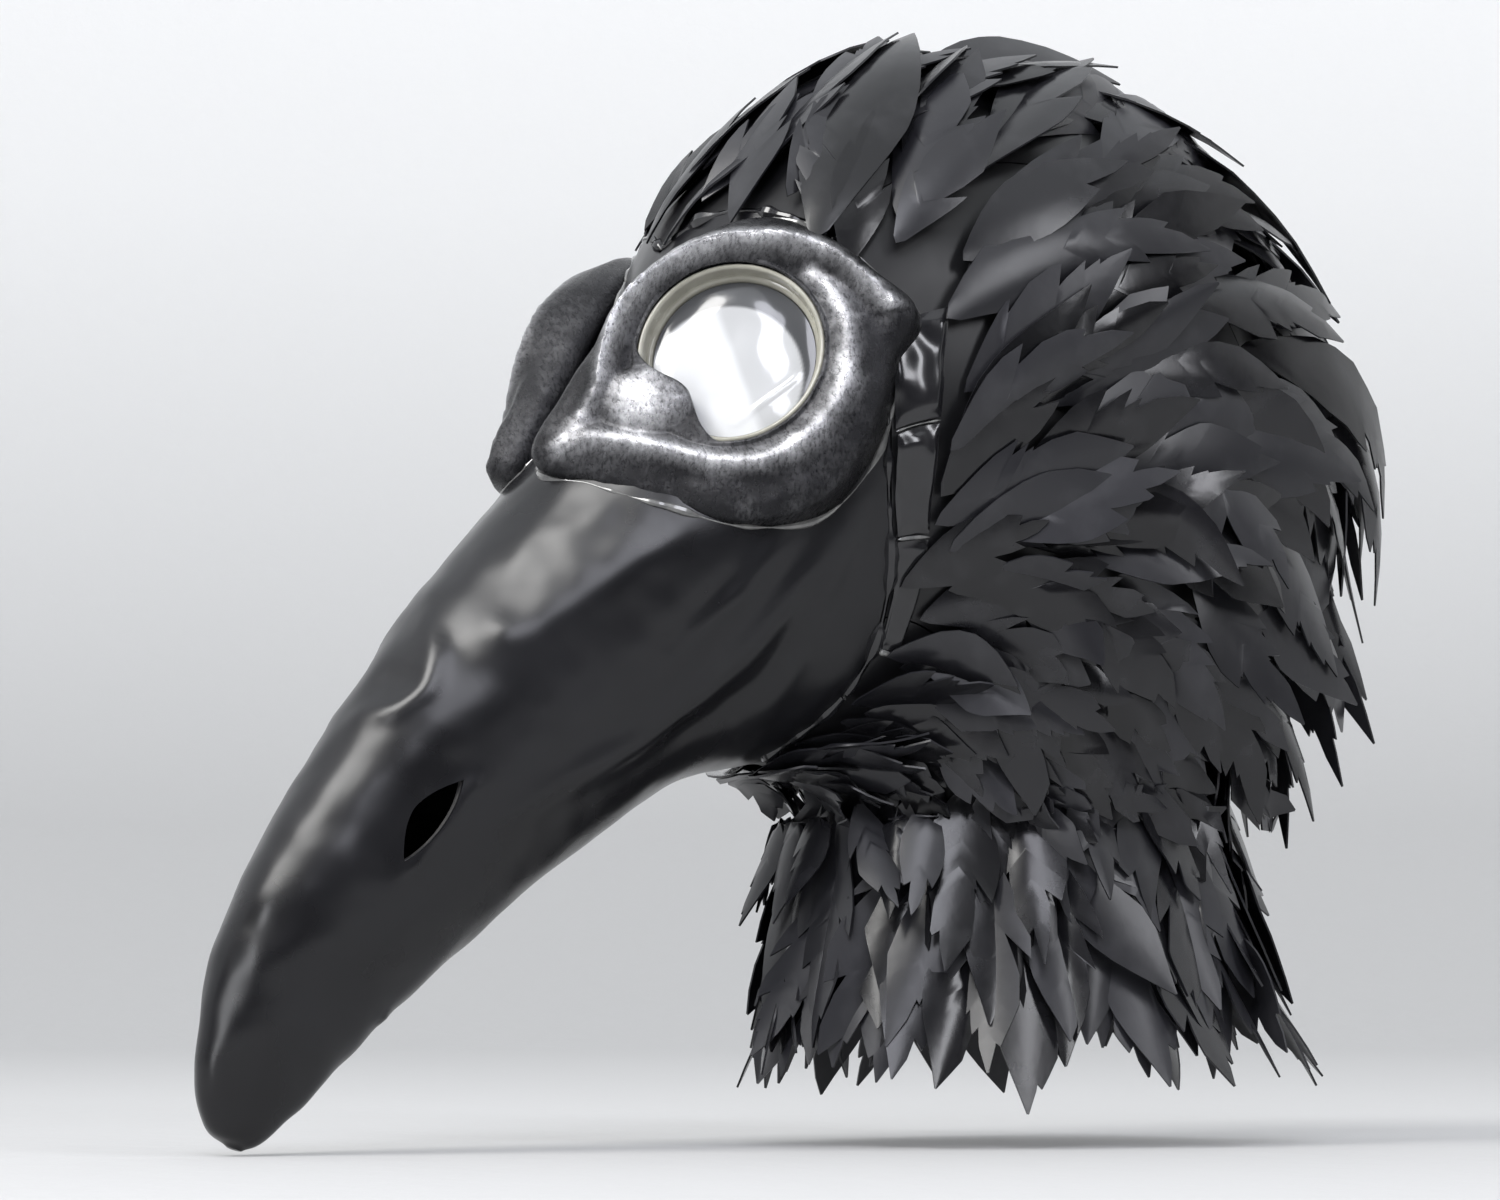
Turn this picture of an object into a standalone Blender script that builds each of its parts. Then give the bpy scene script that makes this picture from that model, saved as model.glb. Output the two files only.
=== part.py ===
"""Raven-headed plague doctor mask: a full-head hood of cut sheet feathers with a long formed beak.

The wearer faces -Y, the wearer's left is +X and up is +Z. The origin lies inside the head cavity at
eye level, where the head carries the mask. All sizes are metres.
"""
import bpy
import bmesh
from math import atan2, cos, degrees, pi, radians, sin
from mathutils import Matrix, Vector

# ---------------------------------------------------------------- driving dimensions
GAP = 0.0003                    # clearance kept between neighbouring pieces
STEP = 0.001                    # small parameter step used to find a surface direction
WELD = 0.00002                  # points closer than this are one point

# The hood turns from the face border to the neck about a line across the throat.
THROAT = Vector((0.0, -0.055, -0.162))
FACE_LEAN = radians(-12)        # the face border leans forward by this much at the forehead
HOOD_TURN = radians(102)        # turn from the face border to the level neck ring
NECK_DROP = 0.100               # hood length below the neck ring for each unit of turn
NECK_FLARE = 0.16               # widening of the neck for each unit of turn
HEM = 1.46                      # turn value at the lower hem
CRANIUM_SWELL = 0.08            # the hood is wider at the cranium than at the jaw
BORDER_SETBACK = 0.020          # turn of the face border at forehead and chin
CROWN_EDGE = radians(48)        # the crown and back panels end here on each side
JAW_EDGE = radians(128)         # the side panels end here
CROWN_END = 0.50                # turn where the crown panel ends
HOOD_SHEET = 0.0020
GLUE_BED = 0.0020               # room for the glue between the hood and what is stuck to it

# Hood sections: turn, distance of the throat side, distance of the outer side, half width
HOOD_SECTIONS = (
    (0.00, 0.015, 0.203, 0.084),
    (0.07, 0.015, 0.238, 0.087),
    (0.22, 0.016, 0.287, 0.092),
    (0.41, 0.018, 0.315, 0.096),
    (0.61, 0.022, 0.288, 0.094),
    (0.80, 0.031, 0.220, 0.082),
    (1.00, 0.040, 0.190, 0.064),
)

# Face border: degrees round the hood from the forehead, turn; it reaches furthest back at the jaw
FACE_BORDER = (
    (0, BORDER_SETBACK), (33, 0.070), (52, 0.110), (72, 0.146), (88, 0.158), (106, 0.188), (124, 0.262),
    (138, 0.315), (152, 0.300), (167, 0.150), (180, BORDER_SETBACK),
)

# Beak sections from tip to bridge: ridge y and z, underside y and z, half width
BEAK_SECTIONS = (
    (-0.2655, -0.2885, -0.2590, -0.2905, 0.0030),
    (-0.2735, -0.2790, -0.2500, -0.2860, 0.0095),
    (-0.2765, -0.2520, -0.2290, -0.2660, 0.0165),
    (-0.2710, -0.2220, -0.2050, -0.2430, 0.0240),
    (-0.2540, -0.1840, -0.1780, -0.2195, 0.0320),
    (-0.2320, -0.1470, -0.1480, -0.1950, 0.0390),
    (-0.2040, -0.1070, -0.1180, -0.1735, 0.0470),
    (-0.1760, -0.0720, -0.0940, -0.1575, 0.0550),
    (-0.1500, -0.0420, -0.0780, -0.1510, 0.0630),
    (-0.1210, -0.0040, -0.0670, -0.1490, 0.0720),
)
BEAK_SKIN_SHEET = 0.0012
BEAK_FRAME_SHEET = 0.0025
BEAK_FRAME_START = 0.15         # the frame stops short of the tip and of the hood
BEAK_FRAME_END = 0.95
BEAK_FRAME_ROWS = 16            # the same rows as the skin, so that the two sheets run parallel
BEAK_FRAME_SEAM = 0.0012        # distance of each frame half from the middle plane
TIP_CORE_START = 0.03
TIP_CORE_END = 0.14
TIP_CORE_ROWS = 3
CORE_GAP = 0.0006
BEAK_COLUMNS = 24
BEAK_ROWS = 20
TIP_LEVEL = -0.20               # the tip's open edge lies below this, the border's above

NOSTRIL_CENTRE = Vector((0.0, -0.201, -0.1715))
NOSTRIL_LENGTH = 0.036
NOSTRIL_WIDTH = 0.011
NOSTRIL_SLOPE = radians(55)     # the slit runs up and back at this angle
NOSTRIL_CUT_DEPTH = 0.150

# Eye assemblies
LENS_CENTRE = Vector((0.058, -0.090, 0.000))
LENS_YAW = radians(50)          # outward turn of the lens axis from straight ahead
LENS_RISE = radians(14)         # upward tilt of the lens axis
RING_RADIUS = 0.0355
RING_BORE = 0.0312
RING_LIP = 0.0300
RING_BACK = -0.0050
RING_FRONT = 0.0085
RING_CHAMFER = Vector((0.0008, 0.0010))
LENS_RADIUS = RING_BORE - GAP
LENS_THICKNESS = 0.0010
RETAINER_BORE = 0.0280
SURROUND_BORE = RING_RADIUS + GAP
SURROUND_BACK = -0.0120
SURROUND_EDGE = 0.0010

# Eye surround outline: angle from the rear corner side counter-clockwise, radius
SURROUND_OUTLINE = (
    (0, 0.0610), (14, 0.0680), (32, 0.0615), (55, 0.0580), (82, 0.0570), (110, 0.0500),
    (142, 0.0465), (172, 0.0520), (192, 0.0670), (207, 0.0830), (224, 0.0690), (250, 0.0600),
    (275, 0.0620), (300, 0.0640), (326, 0.0600), (345, 0.0590),
)
BROW_HEIGHT = 0.0170
UNDER_EYE_HEIGHT = 0.0110
LOBE_ANGLE = 203
LOBE_SPREAD = 26
LOBE_REACH = 0.0130
LIP_RISE = 0.0006
CREST_START = 0.15              # shares of the surround's width: its flat crest, then its shoulder
CREST_END = 0.50
SHOULDER = 0.82
SHOULDER_HEIGHT = 0.60          # height of the shoulder as a share of the crest's
SURROUND_SEGMENTS = 40
EYE_CUT_DEPTH = 0.070

# Feather rows
FEATHER_SHEET = 0.0010
FEATHER_WIDTH = 0.030
ROOT_LIFT = 0.0024              # clearance of a feather root above the hood
TOOTH_DEPTH = 0.42              # share of the length cut away between two feathers
GIRTH_SHARE = 0.75              # share of the reach that counts in a row's girth
LEAST_ROW_REACH = 0.09          # rows nearer the throat are counted as if they lay this far out
LEAST_REACH = 0.03
WALK_STEPS = 6                  # steps taken along the hood to measure a feather's length
HEAD_ROW_FLARES = (0.14, 0.15, 0.20, 0.32, 0.54, 0.80, 0.82, 0.34)
HEAD_ROWS = len(HEAD_ROW_FLARES)
HEAD_ROW_PITCH = 0.108          # turn from one row of head feathers to the next
HEAD_ROW_ARC = radians(113)
ROW_ARC_LOSS = radians(3)       # each row ends this much higher than the one before
HEAD_FEATHER = 0.085
LONGEST_SWEEP = 0.24            # feathers near the jaw are shorter than this much turn
NECK_ROW_ROOTS = (0.97, 1.20, 1.42)
NECK_FEATHER = 0.058
SIDE_FLARE = 0.21               # rise of a feather for each unit of its length
NECK_ROW_FLARES = (0.26, 0.34, 0.50)
JAW_ROW_ARC = radians(44)
JAW_ROW_SETBACKS = (0.050, 0.180, 0.310)
JAW_FEATHER = 0.040
CHIN_LIFT = 0.0130
CHIN_FEATHER = 0.042
CHIN_ARC = radians(48)
FIRST_ROW_SETBACK = 0.035
ROW_BOW = 0.068                 # the rows start behind the temple patches
NECK_START = 1.00
LAST_HEAD_ROOT = 0.90           # rows rooted beyond this turn hang down the neck
PANEL_SEAM = 0.020              # angle left open between two hood panels
TURN_SEAM = 0.004               # turn left open between two hood panels
COLLAR_SEAM = 0.010             # turn left open above the collar
FACE_SEAM = 0.0018              # width of the seam between beak skin and hood

# Temple patches: name, upper and lower edge as degrees round the hood from the crown
TEMPLE_PATCHES = (("upper", 76.0, 94.0), ("middle", 95.0, 113.0), ("lower", 114.0, 134.0))
PATCH_TURN = 0.068
PATCH_SETBACK = 0.004
PATCH_SHEET = 0.0010

# Harness
STRAP_WIDTH = 0.024
STRAP_SHEET = 0.0015
STRAP_SIDE = 0.074              # distance of the strap's straight sides from the middle plane
STRAP_FRONT = -0.004
STRAP_BEND = 0.058              # the strap starts to curve round the back of the head here
STRAP_BACK_DEPTH = 0.084
STRAP_HEIGHT = 0.006
STRAP_STRAIGHT_SHARE = 0.20     # share of the strap's points on each straight side
RIVET_Y = 0.004
ANCHOR_SIZE = Vector((0.0030, 0.0160, 0.0340))
RIVET_SHANK = 0.0020
RIVET_HEAD = 0.0045
RIVET_HEAD_THICKNESS = 0.0012
RIVET_HEAD_TOP = 0.70           # radius of the head's flat top as a share of the head's
RIVET_SIDES = 16
RIVET_CUT_DEPTH = 0.020
SLIDER_SIZE = Vector((0.0056, 0.0150, 0.0320))
SLIDER_SLOT = Vector((0.0026, 0.0200, 0.0252))
SLIDER_ROUNDING = 0.0008
SLIDER_HOME = 0.034             # y of the slider at rest, halfway along the straight strap
CROWN_PAD_UNDERSIDE = 0.108     # the crown pad is flat underneath, where it rests on the head

# Foam pads: name, edges as degrees round the hood, turns, thickness
PADS = (
    ("forehead_pad", (-22, 22), (0.09, 0.15), 0.026),
    ("back_pad", (-26, 26), (0.60, 0.74), 0.010),
    ("cheek_pad_left", (98, 124), (0.24, 0.40), 0.010),
    ("cheek_pad_right", (-124, -98), (0.24, 0.40), 0.010),
    ("crown_pad", (-17, 17), (0.25, 0.37), 0.022),
)


# ---------------------------------------------------------------- scene helpers
def clear_scene():
    """Take every object out of the scene."""
    for thing in list(bpy.data.objects):
        bpy.data.objects.remove(thing, do_unlink=True)


def make_collection(name):
    """Add a collection to the scene."""
    collection = bpy.data.collections.new(name)
    bpy.context.scene.collection.children.link(collection)
    return collection


def make_material(name, colour, roughness, metallic=0.0):
    """A Principled material in one finish."""
    material = bpy.data.materials.new(name)
    material.use_nodes = True
    shader = material.node_tree.nodes["Principled BSDF"]
    shader.inputs["Base Color"].default_value = (*colour, 1.0)
    shader.inputs["Roughness"].default_value = roughness
    shader.inputs["Metallic"].default_value = metallic
    return material


def add_object(name, mesh, material=None):
    """Put a mesh in the mask's collection with its finish."""
    thing = bpy.data.objects.new(name, mesh)
    PARTS.objects.link(thing)
    if material is not None:
        mesh.materials.append(material)
    return thing


def mark_cutter(cutter):
    """Keep a cutter out of renders and show it as wire."""
    for collection in list(cutter.users_collection):
        collection.objects.unlink(cutter)
    CUTTERS.objects.link(cutter)
    cutter.hide_render = True
    cutter.display_type = "WIRE"
    return cutter


def cut(thing, cutter):
    """Cut one object with another."""
    boolean = thing.modifiers.new("cut_" + cutter.name, "BOOLEAN")
    boolean.operation = "DIFFERENCE"
    boolean.solver = "EXACT"
    boolean.object = cutter


def thicken(thing, thickness):
    """Give an open surface its thickness on its inner side."""
    solidify = thing.modifiers.new("sheet", "SOLIDIFY")
    solidify.thickness = thickness
    solidify.offset = -1.0
    solidify.use_even_offset = True


# ---------------------------------------------------------------- curves through key values
def spline(keys, place):
    """A smooth curve through (place, value, value ...) keys; it returns the values at one place."""
    last = len(keys) - 2
    index = max(k for k in range(last + 1) if k == 0 or keys[k][0] <= place)
    before = keys[max(index - 1, 0)]
    start = keys[index]
    end = keys[index + 1]
    after = keys[min(index + 2, last + 1)]
    span = end[0] - start[0]
    share = (place - start[0]) / span
    values = []
    for a, b, c, d in zip(before[1:], start[1:], end[1:], after[1:]):
        leave = (c - a) / (end[0] - before[0]) * span
        arrive = (d - b) / (after[0] - start[0]) * span
        cubic = 2 * (b - c) + leave + arrive
        square = 3 * (c - b) - 2 * leave - arrive
        values.append(b + share * (leave + share * (square + share * cubic)))
    return values


def lifted(point_at, u, v, lift):
    """A point raised off a surface along its outward direction."""
    here = point_at(u, v)
    if lift == 0:
        return here
    along_u = point_at(u + STEP, v) - point_at(u - STEP, v)
    along_v = point_at(u, v + STEP) - point_at(u, v - STEP)
    return here + along_v.cross(along_u).normalized() * lift


# ---------------------------------------------------------------- hood surface
def hood_radii(turn):
    """Throat side distance, outer side distance and half width of the hood at a turn."""
    return spline(HOOD_SECTIONS, min(max(turn, 0.0), 1.0))


def hood_reach(turn, around):
    """Distance of the hood surface from the throat line."""
    inner, outer, _ = hood_radii(turn)
    return (inner + outer) / 2 + (outer - inner) / 2 * cos(around)


def hood_point(turn, around):
    """A point of the hood: turn runs from the face border (0) to the neck (1) and on to the hem."""
    inner, outer, half_width = hood_radii(turn)
    below = max(turn - 1.0, 0.0)
    angle = FACE_LEAN + HOOD_TURN * min(turn, 1.0)
    spread = 1 + NECK_FLARE * below
    centre = (inner + outer) / 2
    reach = centre + (outer - inner) / 2 * cos(around) * spread
    x = half_width * sin(around) * (1 + CRANIUM_SWELL * cos(around)) * spread
    y = THROAT.y + reach * sin(angle)
    z = THROAT.z + reach * cos(angle) - NECK_DROP * below
    return Vector((x, y, z))


def border_turn(around):
    """Turn of the seam between the beak skin and the hood, the same on both sides."""
    place = abs((degrees(around) + 180) % 360 - 180)
    return spline(FACE_BORDER, place)[0]


def seam_turn(around):
    """Turn of the hood's front edge, just behind the beak skin."""
    border = border_turn(around)
    return border + FACE_SEAM / (hood_reach(border, around) * HOOD_TURN)


# ---------------------------------------------------------------- beak surface
def beak_ring_point(section, around):
    """A point on one beak section: 0 is the ridge, pi the underside."""
    ridge_y, ridge_z, under_y, under_z, half_width = section
    middle = Vector((0.0, (ridge_y + under_y) / 2, (ridge_z + under_z) / 2))
    to_ridge = Vector((0.0, (ridge_y - under_y) / 2, (ridge_z - under_z) / 2))
    side = Vector((half_width * sin(around), 0.0, 0.0))
    return middle + to_ridge * cos(around) + side


def beak_point(along, around):
    """A point of the beak skin: along runs from the tip (0) to the seam with the hood (1)."""
    keys = []
    count = len(BEAK_SECTIONS)
    for index, section in enumerate(BEAK_SECTIONS):
        keys.append((index / count, *beak_ring_point(section, around)))
    keys.append((1.0, *hood_point(border_turn(around), around)))
    return Vector(spline(keys, along))


# ---------------------------------------------------------------- sheet shapes
def sheet(name, place, columns, rows, thickness, material, closed=False):
    """A curved sheet: place(across, down) maps a unit grid to the surface."""
    mesh = bpy.data.meshes.new(name)
    shape = bmesh.new()
    bmesh.ops.create_grid(shape, x_segments=columns, y_segments=rows, size=0.5)
    for vertex in shape.verts:
        vertex.co = place(vertex.co.x + 0.5, vertex.co.y + 0.5)
    if closed:
        bmesh.ops.remove_doubles(shape, verts=shape.verts, dist=WELD)
    shape.to_mesh(mesh)
    shape.free()
    mesh.shade_smooth()
    thing = add_object(name, mesh, material)
    thicken(thing, thickness)
    return thing


def hood_panel(name, around_from, around_to, turn_to, material, columns, rows, turn_from=None):
    """One hood panel, from the face seam or a given turn to another turn."""
    def place(across, down):
        start = turn_from
        around = around_from + (around_to - around_from) * across
        if start is None:
            start = seam_turn(around)
        return hood_point(start + (turn_to - start) * down, around)
    return sheet(name, place, columns, rows, HOOD_SHEET, material)


def hood_pad(name, arc, turns, thickness, material):
    """A foam pad glued to the inside of the hood."""
    def place(across, down):
        around = radians(arc[0] + (arc[1] - arc[0]) * across)
        turn = turns[0] + (turns[1] - turns[0]) * down
        return lifted(hood_point, turn, around, -HOOD_SHEET - GLUE_BED)
    return sheet(name, place, 6, 5, thickness, material)


def tooth_share(across, count):
    """Length share of a row at one place: full at a feather's tip, shorter between two feathers."""
    phase = (across * count) % 1.0
    return 1.0 - TOOTH_DEPTH * abs(2 * phase - 1)


def feather_row(name, root_turn, half_arc, length, flare, material, centre=0.0, base_lift=ROOT_LIFT):
    """A row of overlapping feathers as one toothed band that lifts towards its tips."""
    turn_here = root_turn(centre)
    reach = max(hood_reach(turn_here, centre), LEAST_ROW_REACH)
    closed = half_arc >= pi
    girth = half_arc * (reach * GIRTH_SHARE + hood_radii(turn_here)[2])
    count = max(3, round(girth / FEATHER_WIDTH))

    def place(across, down):
        around = centre + half_arc * (2 * across - 1)
        start = root_turn(around)
        reach_here = hood_reach(start, around)
        longest = length
        if start < LAST_HEAD_ROOT:
            sweep = min(LONGEST_SWEEP, NECK_START - start)
            longest = min(length, sweep * HOOD_TURN * reach_here)
        distance = longest * tooth_share(across, count) * down
        turn = start
        for _ in range(WALK_STEPS):
            reach_there = max(hood_reach(turn, around), LEAST_REACH)
            rate = HOOD_TURN * reach_there if turn < NECK_START else NECK_DROP
            turn += distance / WALK_STEPS / rate
        flare_here = SIDE_FLARE + (flare - SIDE_FLARE) * max(cos(around), 0.0)
        lift = base_lift + FEATHER_SHEET + flare_here * distance
        return lifted(hood_point, turn, around, lift)

    return sheet(name, place, count * 2, 2, FEATHER_SHEET, material, closed)


# ---------------------------------------------------------------- eye assemblies
def lens_axes(side):
    """Rearward, upward and outward directions of an eye."""
    outward = Vector((
        side * sin(LENS_YAW) * cos(LENS_RISE),
        -cos(LENS_YAW) * cos(LENS_RISE),
        sin(LENS_RISE),
    ))
    rearward = Vector((side * cos(LENS_YAW), sin(LENS_YAW), 0.0))
    upward = outward.cross(rearward) * side
    return rearward, upward, outward


def eye_place(side, right, up, out):
    """World position of a point given on an eye's own axes."""
    rearward, upward, outward = lens_axes(side)
    centre = Vector((side * LENS_CENTRE.x, LENS_CENTRE.y, LENS_CENTRE.z))
    return centre + rearward * right + upward * up + outward * out


def lens_matrix(side):
    """Placement of a turned piece whose Z is the lens axis."""
    rearward, _, outward = lens_axes(side)
    across = outward.cross(rearward)
    matrix = Matrix((rearward, across, outward)).transposed().to_4x4()
    matrix.translation = eye_place(side, 0.0, 0.0, 0.0)
    return matrix


def turned(name, profile, material, matrix, steps=32):
    """A closed profile of (radius, height) points turned round the Z axis.

    The profile runs down its outer side first, so that the faces point out.
    """
    count = len(profile)
    points = [(radius, 0.0, height) for radius, height in profile]
    edges = [(k, (k + 1) % count) for k in range(count)]
    mesh = bpy.data.meshes.new(name)
    mesh.from_pydata(points, edges, [])
    thing = add_object(name, mesh, material)
    thing.matrix_world = matrix
    screw = thing.modifiers.new("turn", "SCREW")
    screw.axis = "Z"
    screw.angle = 2 * pi
    screw.steps = steps
    screw.render_steps = steps
    screw.use_merge_vertices = True
    screw.merge_threshold = 0.00001
    screw.use_smooth_shade = True
    return thing


def tube_profile(bore, radius, back, front):
    """Section of a plain tube."""
    return ((radius, front), (radius, back), (bore, back), (bore, front))


def lens_ring_profile():
    """A tube with a thin lip in front and a seat for the lens behind it."""
    seat = LENS_THICKNESS + GAP
    return (
        (RING_RADIUS - RING_CHAMFER.x, RING_FRONT), (RING_RADIUS, RING_FRONT - RING_CHAMFER.y),
        (RING_RADIUS, RING_BACK), (RING_BORE, RING_BACK), (RING_BORE, seat), (RING_LIP, seat), (RING_LIP, RING_FRONT),
    )


def outline_radius(angle):
    """Radius of the eye surround's outline in a direction given in degrees."""
    keys = [(place - 360, radius) for place, radius in SURROUND_OUTLINE[-2:]]
    keys += SURROUND_OUTLINE
    keys += [(place + 360, radius) for place, radius in SURROUND_OUTLINE[:2]]
    return spline(keys, angle % 360)[0]


def surround_height(angle):
    """Height of the surround's ridge: a high brow and a lower rim under the eye."""
    rise = max(sin(radians(angle)), 0.0)
    return UNDER_EYE_HEIGHT + (BROW_HEIGHT - UNDER_EYE_HEIGHT) * rise


def lobe_share(angle):
    """How much of the tear-duct lobe stands at an angle."""
    return max(0.0, 1.0 - ((angle - LOBE_ANGLE) / LOBE_SPREAD) ** 2)


def surround_section(angle):
    """Corners of the surround's section at an angle, as (radius, height) pairs."""
    outer = outline_radius(angle)
    width = outer - SURROUND_BORE
    height = surround_height(angle)
    reach = LOBE_REACH * lobe_share(angle)
    shoulder = RING_FRONT + 2 * GAP
    return (
        (SURROUND_BORE, SURROUND_BACK),
        (SURROUND_BORE, shoulder),
        (SURROUND_BORE - reach, shoulder + LIP_RISE),
        (SURROUND_BORE - reach + CREST_START * width, height),
        (SURROUND_BORE + CREST_END * width, height),
        (SURROUND_BORE + SHOULDER * width, height * SHOULDER_HEIGHT),
        (outer, SURROUND_EDGE),
        (outer, SURROUND_BACK),
    )


def make_eye_surround(name, side, material):
    """The sculpted ring round a lens, shaped from a torus."""
    corners = len(surround_section(0))
    bpy.ops.mesh.primitive_torus_add(
        major_segments=SURROUND_SEGMENTS, minor_segments=corners, major_radius=1.0, minor_radius=0.25,
    )
    thing = bpy.context.object
    thing.name = name
    thing.data.name = name
    for vertex in thing.data.vertices:
        angle = 360 * (vertex.index // corners) / SURROUND_SEGMENTS
        radius, height = surround_section(angle)[-1 - vertex.index % corners]
        right = radius * cos(radians(angle))
        up = radius * sin(radians(angle))
        vertex.co = eye_place(side, right, up, height)
    if side < 0:
        thing.data.flip_normals()
    for collection in list(thing.users_collection):
        collection.objects.unlink(thing)
    PARTS.objects.link(thing)
    thing.data.materials.append(material)
    thing.data.shade_smooth()
    return thing


def make_eye_cutter(side):
    """A prism of the surround's outline, one gap larger, that opens the beak for it."""
    mesh = bpy.data.meshes.new("eye_cutter")
    shape = bmesh.new()
    bmesh.ops.create_cone(
        shape, cap_ends=True, segments=SURROUND_SEGMENTS, radius1=1.0, radius2=1.0, depth=EYE_CUT_DEPTH,
    )
    for vertex in shape.verts:
        angle = atan2(vertex.co.y, vertex.co.x)
        radius = outline_radius(degrees(angle)) + GAP
        vertex.co = eye_place(side, radius * cos(angle), radius * sin(angle), vertex.co.z)
    if side < 0:
        bmesh.ops.reverse_faces(shape, faces=shape.faces)
    shape.to_mesh(mesh)
    shape.free()
    return mark_cutter(add_object("eye_cutter", mesh))


def make_nostril_cutter():
    """A leaf-shaped bar across the beak that opens both nostrils."""
    mesh = bpy.data.meshes.new("nostril_cutter")
    shape = bmesh.new()
    bmesh.ops.create_cone(
        shape, cap_ends=True, segments=16, radius1=1.0, radius2=1.0, depth=NOSTRIL_CUT_DEPTH,
    )
    turn = Matrix.Rotation(pi / 2, 4, "Y")
    lean = Matrix.Rotation(NOSTRIL_SLOPE, 4, "X")
    for vertex in shape.verts:
        long_way = vertex.co.y * NOSTRIL_LENGTH / 2
        short_way = vertex.co.x * abs(vertex.co.x) ** 0.4 * NOSTRIL_WIDTH / 2
        spot = turn @ Vector((short_way, long_way, vertex.co.z))
        vertex.co = NOSTRIL_CENTRE + lean @ spot
    shape.to_mesh(mesh)
    shape.free()
    return mark_cutter(add_object("nostril_cutter", mesh))


# ---------------------------------------------------------------- beak pieces
def make_beak_skin(material, cutters):
    """The black skin over beak and cheeks, closed at the tip."""
    def place(across, down):
        return beak_point(down, 2 * pi * across)

    skin = sheet("beak_skin", place, BEAK_COLUMNS, BEAK_ROWS, BEAK_SKIN_SHEET, material, closed=True)
    shape = bmesh.new()
    shape.from_mesh(skin.data)
    tip = [edge for edge in shape.edges if edge.is_boundary and edge.verts[0].co.z < TIP_LEVEL]
    bmesh.ops.contextual_create(shape, geom=tip)
    shape.to_mesh(skin.data)
    shape.free()
    for cutter in cutters:
        cut(skin, cutter)
    return skin


def make_tip_core(material):
    """The solid filler that stiffens the beak's tip inside the skin."""
    mesh = bpy.data.meshes.new("beak_tip_core")
    shape = bmesh.new()
    bmesh.ops.create_grid(shape, x_segments=BEAK_COLUMNS, y_segments=TIP_CORE_ROWS, size=0.5)
    for vertex in shape.verts:
        along = TIP_CORE_START + (TIP_CORE_END - TIP_CORE_START) * (vertex.co.y + 0.5)
        around = 2 * pi * (vertex.co.x + 0.5)
        vertex.co = lifted(beak_point, along, around, -BEAK_SKIN_SHEET - CORE_GAP)
    bmesh.ops.remove_doubles(shape, verts=shape.verts, dist=WELD)
    bmesh.ops.holes_fill(shape, edges=shape.edges, sides=0)
    shape.to_mesh(mesh)
    shape.free()
    mesh.shade_smooth()
    return add_object("beak_tip_core", mesh, material)


def make_beak_frame(name, side, material, cutters):
    """One half of the stiff former under the skin."""
    def place(across, down):
        along = BEAK_FRAME_START + (BEAK_FRAME_END - BEAK_FRAME_START) * down
        margin = BEAK_FRAME_SEAM / beak_point(along, pi / 2).x
        around = min(max(pi * across, margin), pi - margin)
        if side < 0:
            around -= pi
        return lifted(beak_point, along, around, -BEAK_SKIN_SHEET - GAP)

    frame = sheet(name, place, BEAK_COLUMNS // 2, BEAK_FRAME_ROWS, BEAK_FRAME_SHEET, material)
    for cutter in cutters:
        cut(frame, cutter)
    return frame


# ---------------------------------------------------------------- hood pieces
def make_hood(material, eye_cutters):
    """The hood's sheet panels, glued edge to edge under the feathers."""
    side_edge = CROWN_EDGE + PANEL_SEAM
    throat_edge = JAW_EDGE + PANEL_SEAM
    back_start = CROWN_END + TURN_SEAM
    crown = hood_panel("hood_crown", -CROWN_EDGE, CROWN_EDGE, CROWN_END, material, 8, 9)
    hood_panel("hood_back", -CROWN_EDGE, CROWN_EDGE, NECK_START, material, 8, 9, back_start)
    left = hood_panel("hood_side_left", side_edge, JAW_EDGE, NECK_START, material, 6, 12)
    right = hood_panel("hood_side_right", -JAW_EDGE, -side_edge, NECK_START, material, 6, 12)
    hood_panel("hood_throat", throat_edge, 2 * pi - throat_edge, NECK_START, material, 6, 8)
    collar_start = NECK_START + COLLAR_SEAM
    hood_panel("hood_collar_left", PANEL_SEAM, pi - PANEL_SEAM, HEM, material, 12, 3, collar_start)
    hood_panel("hood_collar_right", PANEL_SEAM - pi, -PANEL_SEAM, HEM, material, 12, 3, collar_start)
    for cutter, side_panel in zip(eye_cutters, (left, right)):
        cut(crown, cutter)
        cut(side_panel, cutter)


def make_temple_patches(material, eye_cutters):
    """Three glossy strips on each side that cover the seam behind the cheek."""
    for side, side_name in ((1, "left"), (-1, "right")):
        for place_name, top, bottom in TEMPLE_PATCHES:
            def place(across, down, side=side, top=top, bottom=bottom):
                first, last = (top, bottom) if side > 0 else (-bottom, -top)
                around = radians(first + (last - first) * across)
                start = seam_turn(around) + PATCH_SETBACK
                return lifted(hood_point, start + PATCH_TURN * down, around, PATCH_SHEET + GLUE_BED)
            patch = sheet(f"temple_patch_{place_name}_{side_name}", place, 4, 2, PATCH_SHEET, material)
            if place_name == "upper":
                cut(patch, eye_cutters[0 if side > 0 else 1])


def head_row_root(index):
    """Where a row of head feathers is glued: bowed like the border at first, then straighter."""
    def root(around):
        straightened = 1.0 - 0.8 * index / HEAD_ROWS
        behind_patches = ROW_BOW * sin(around) ** 4 * straightened
        bow = (border_turn(around) - BORDER_SETBACK) * straightened
        return BORDER_SETBACK + FIRST_ROW_SETBACK + index * HEAD_ROW_PITCH + bow + behind_patches
    return root


def jaw_row_root(setback):
    """Where a short row round the jaw is glued, behind the beak's underside."""
    return lambda around: border_turn(around) + setback


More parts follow.
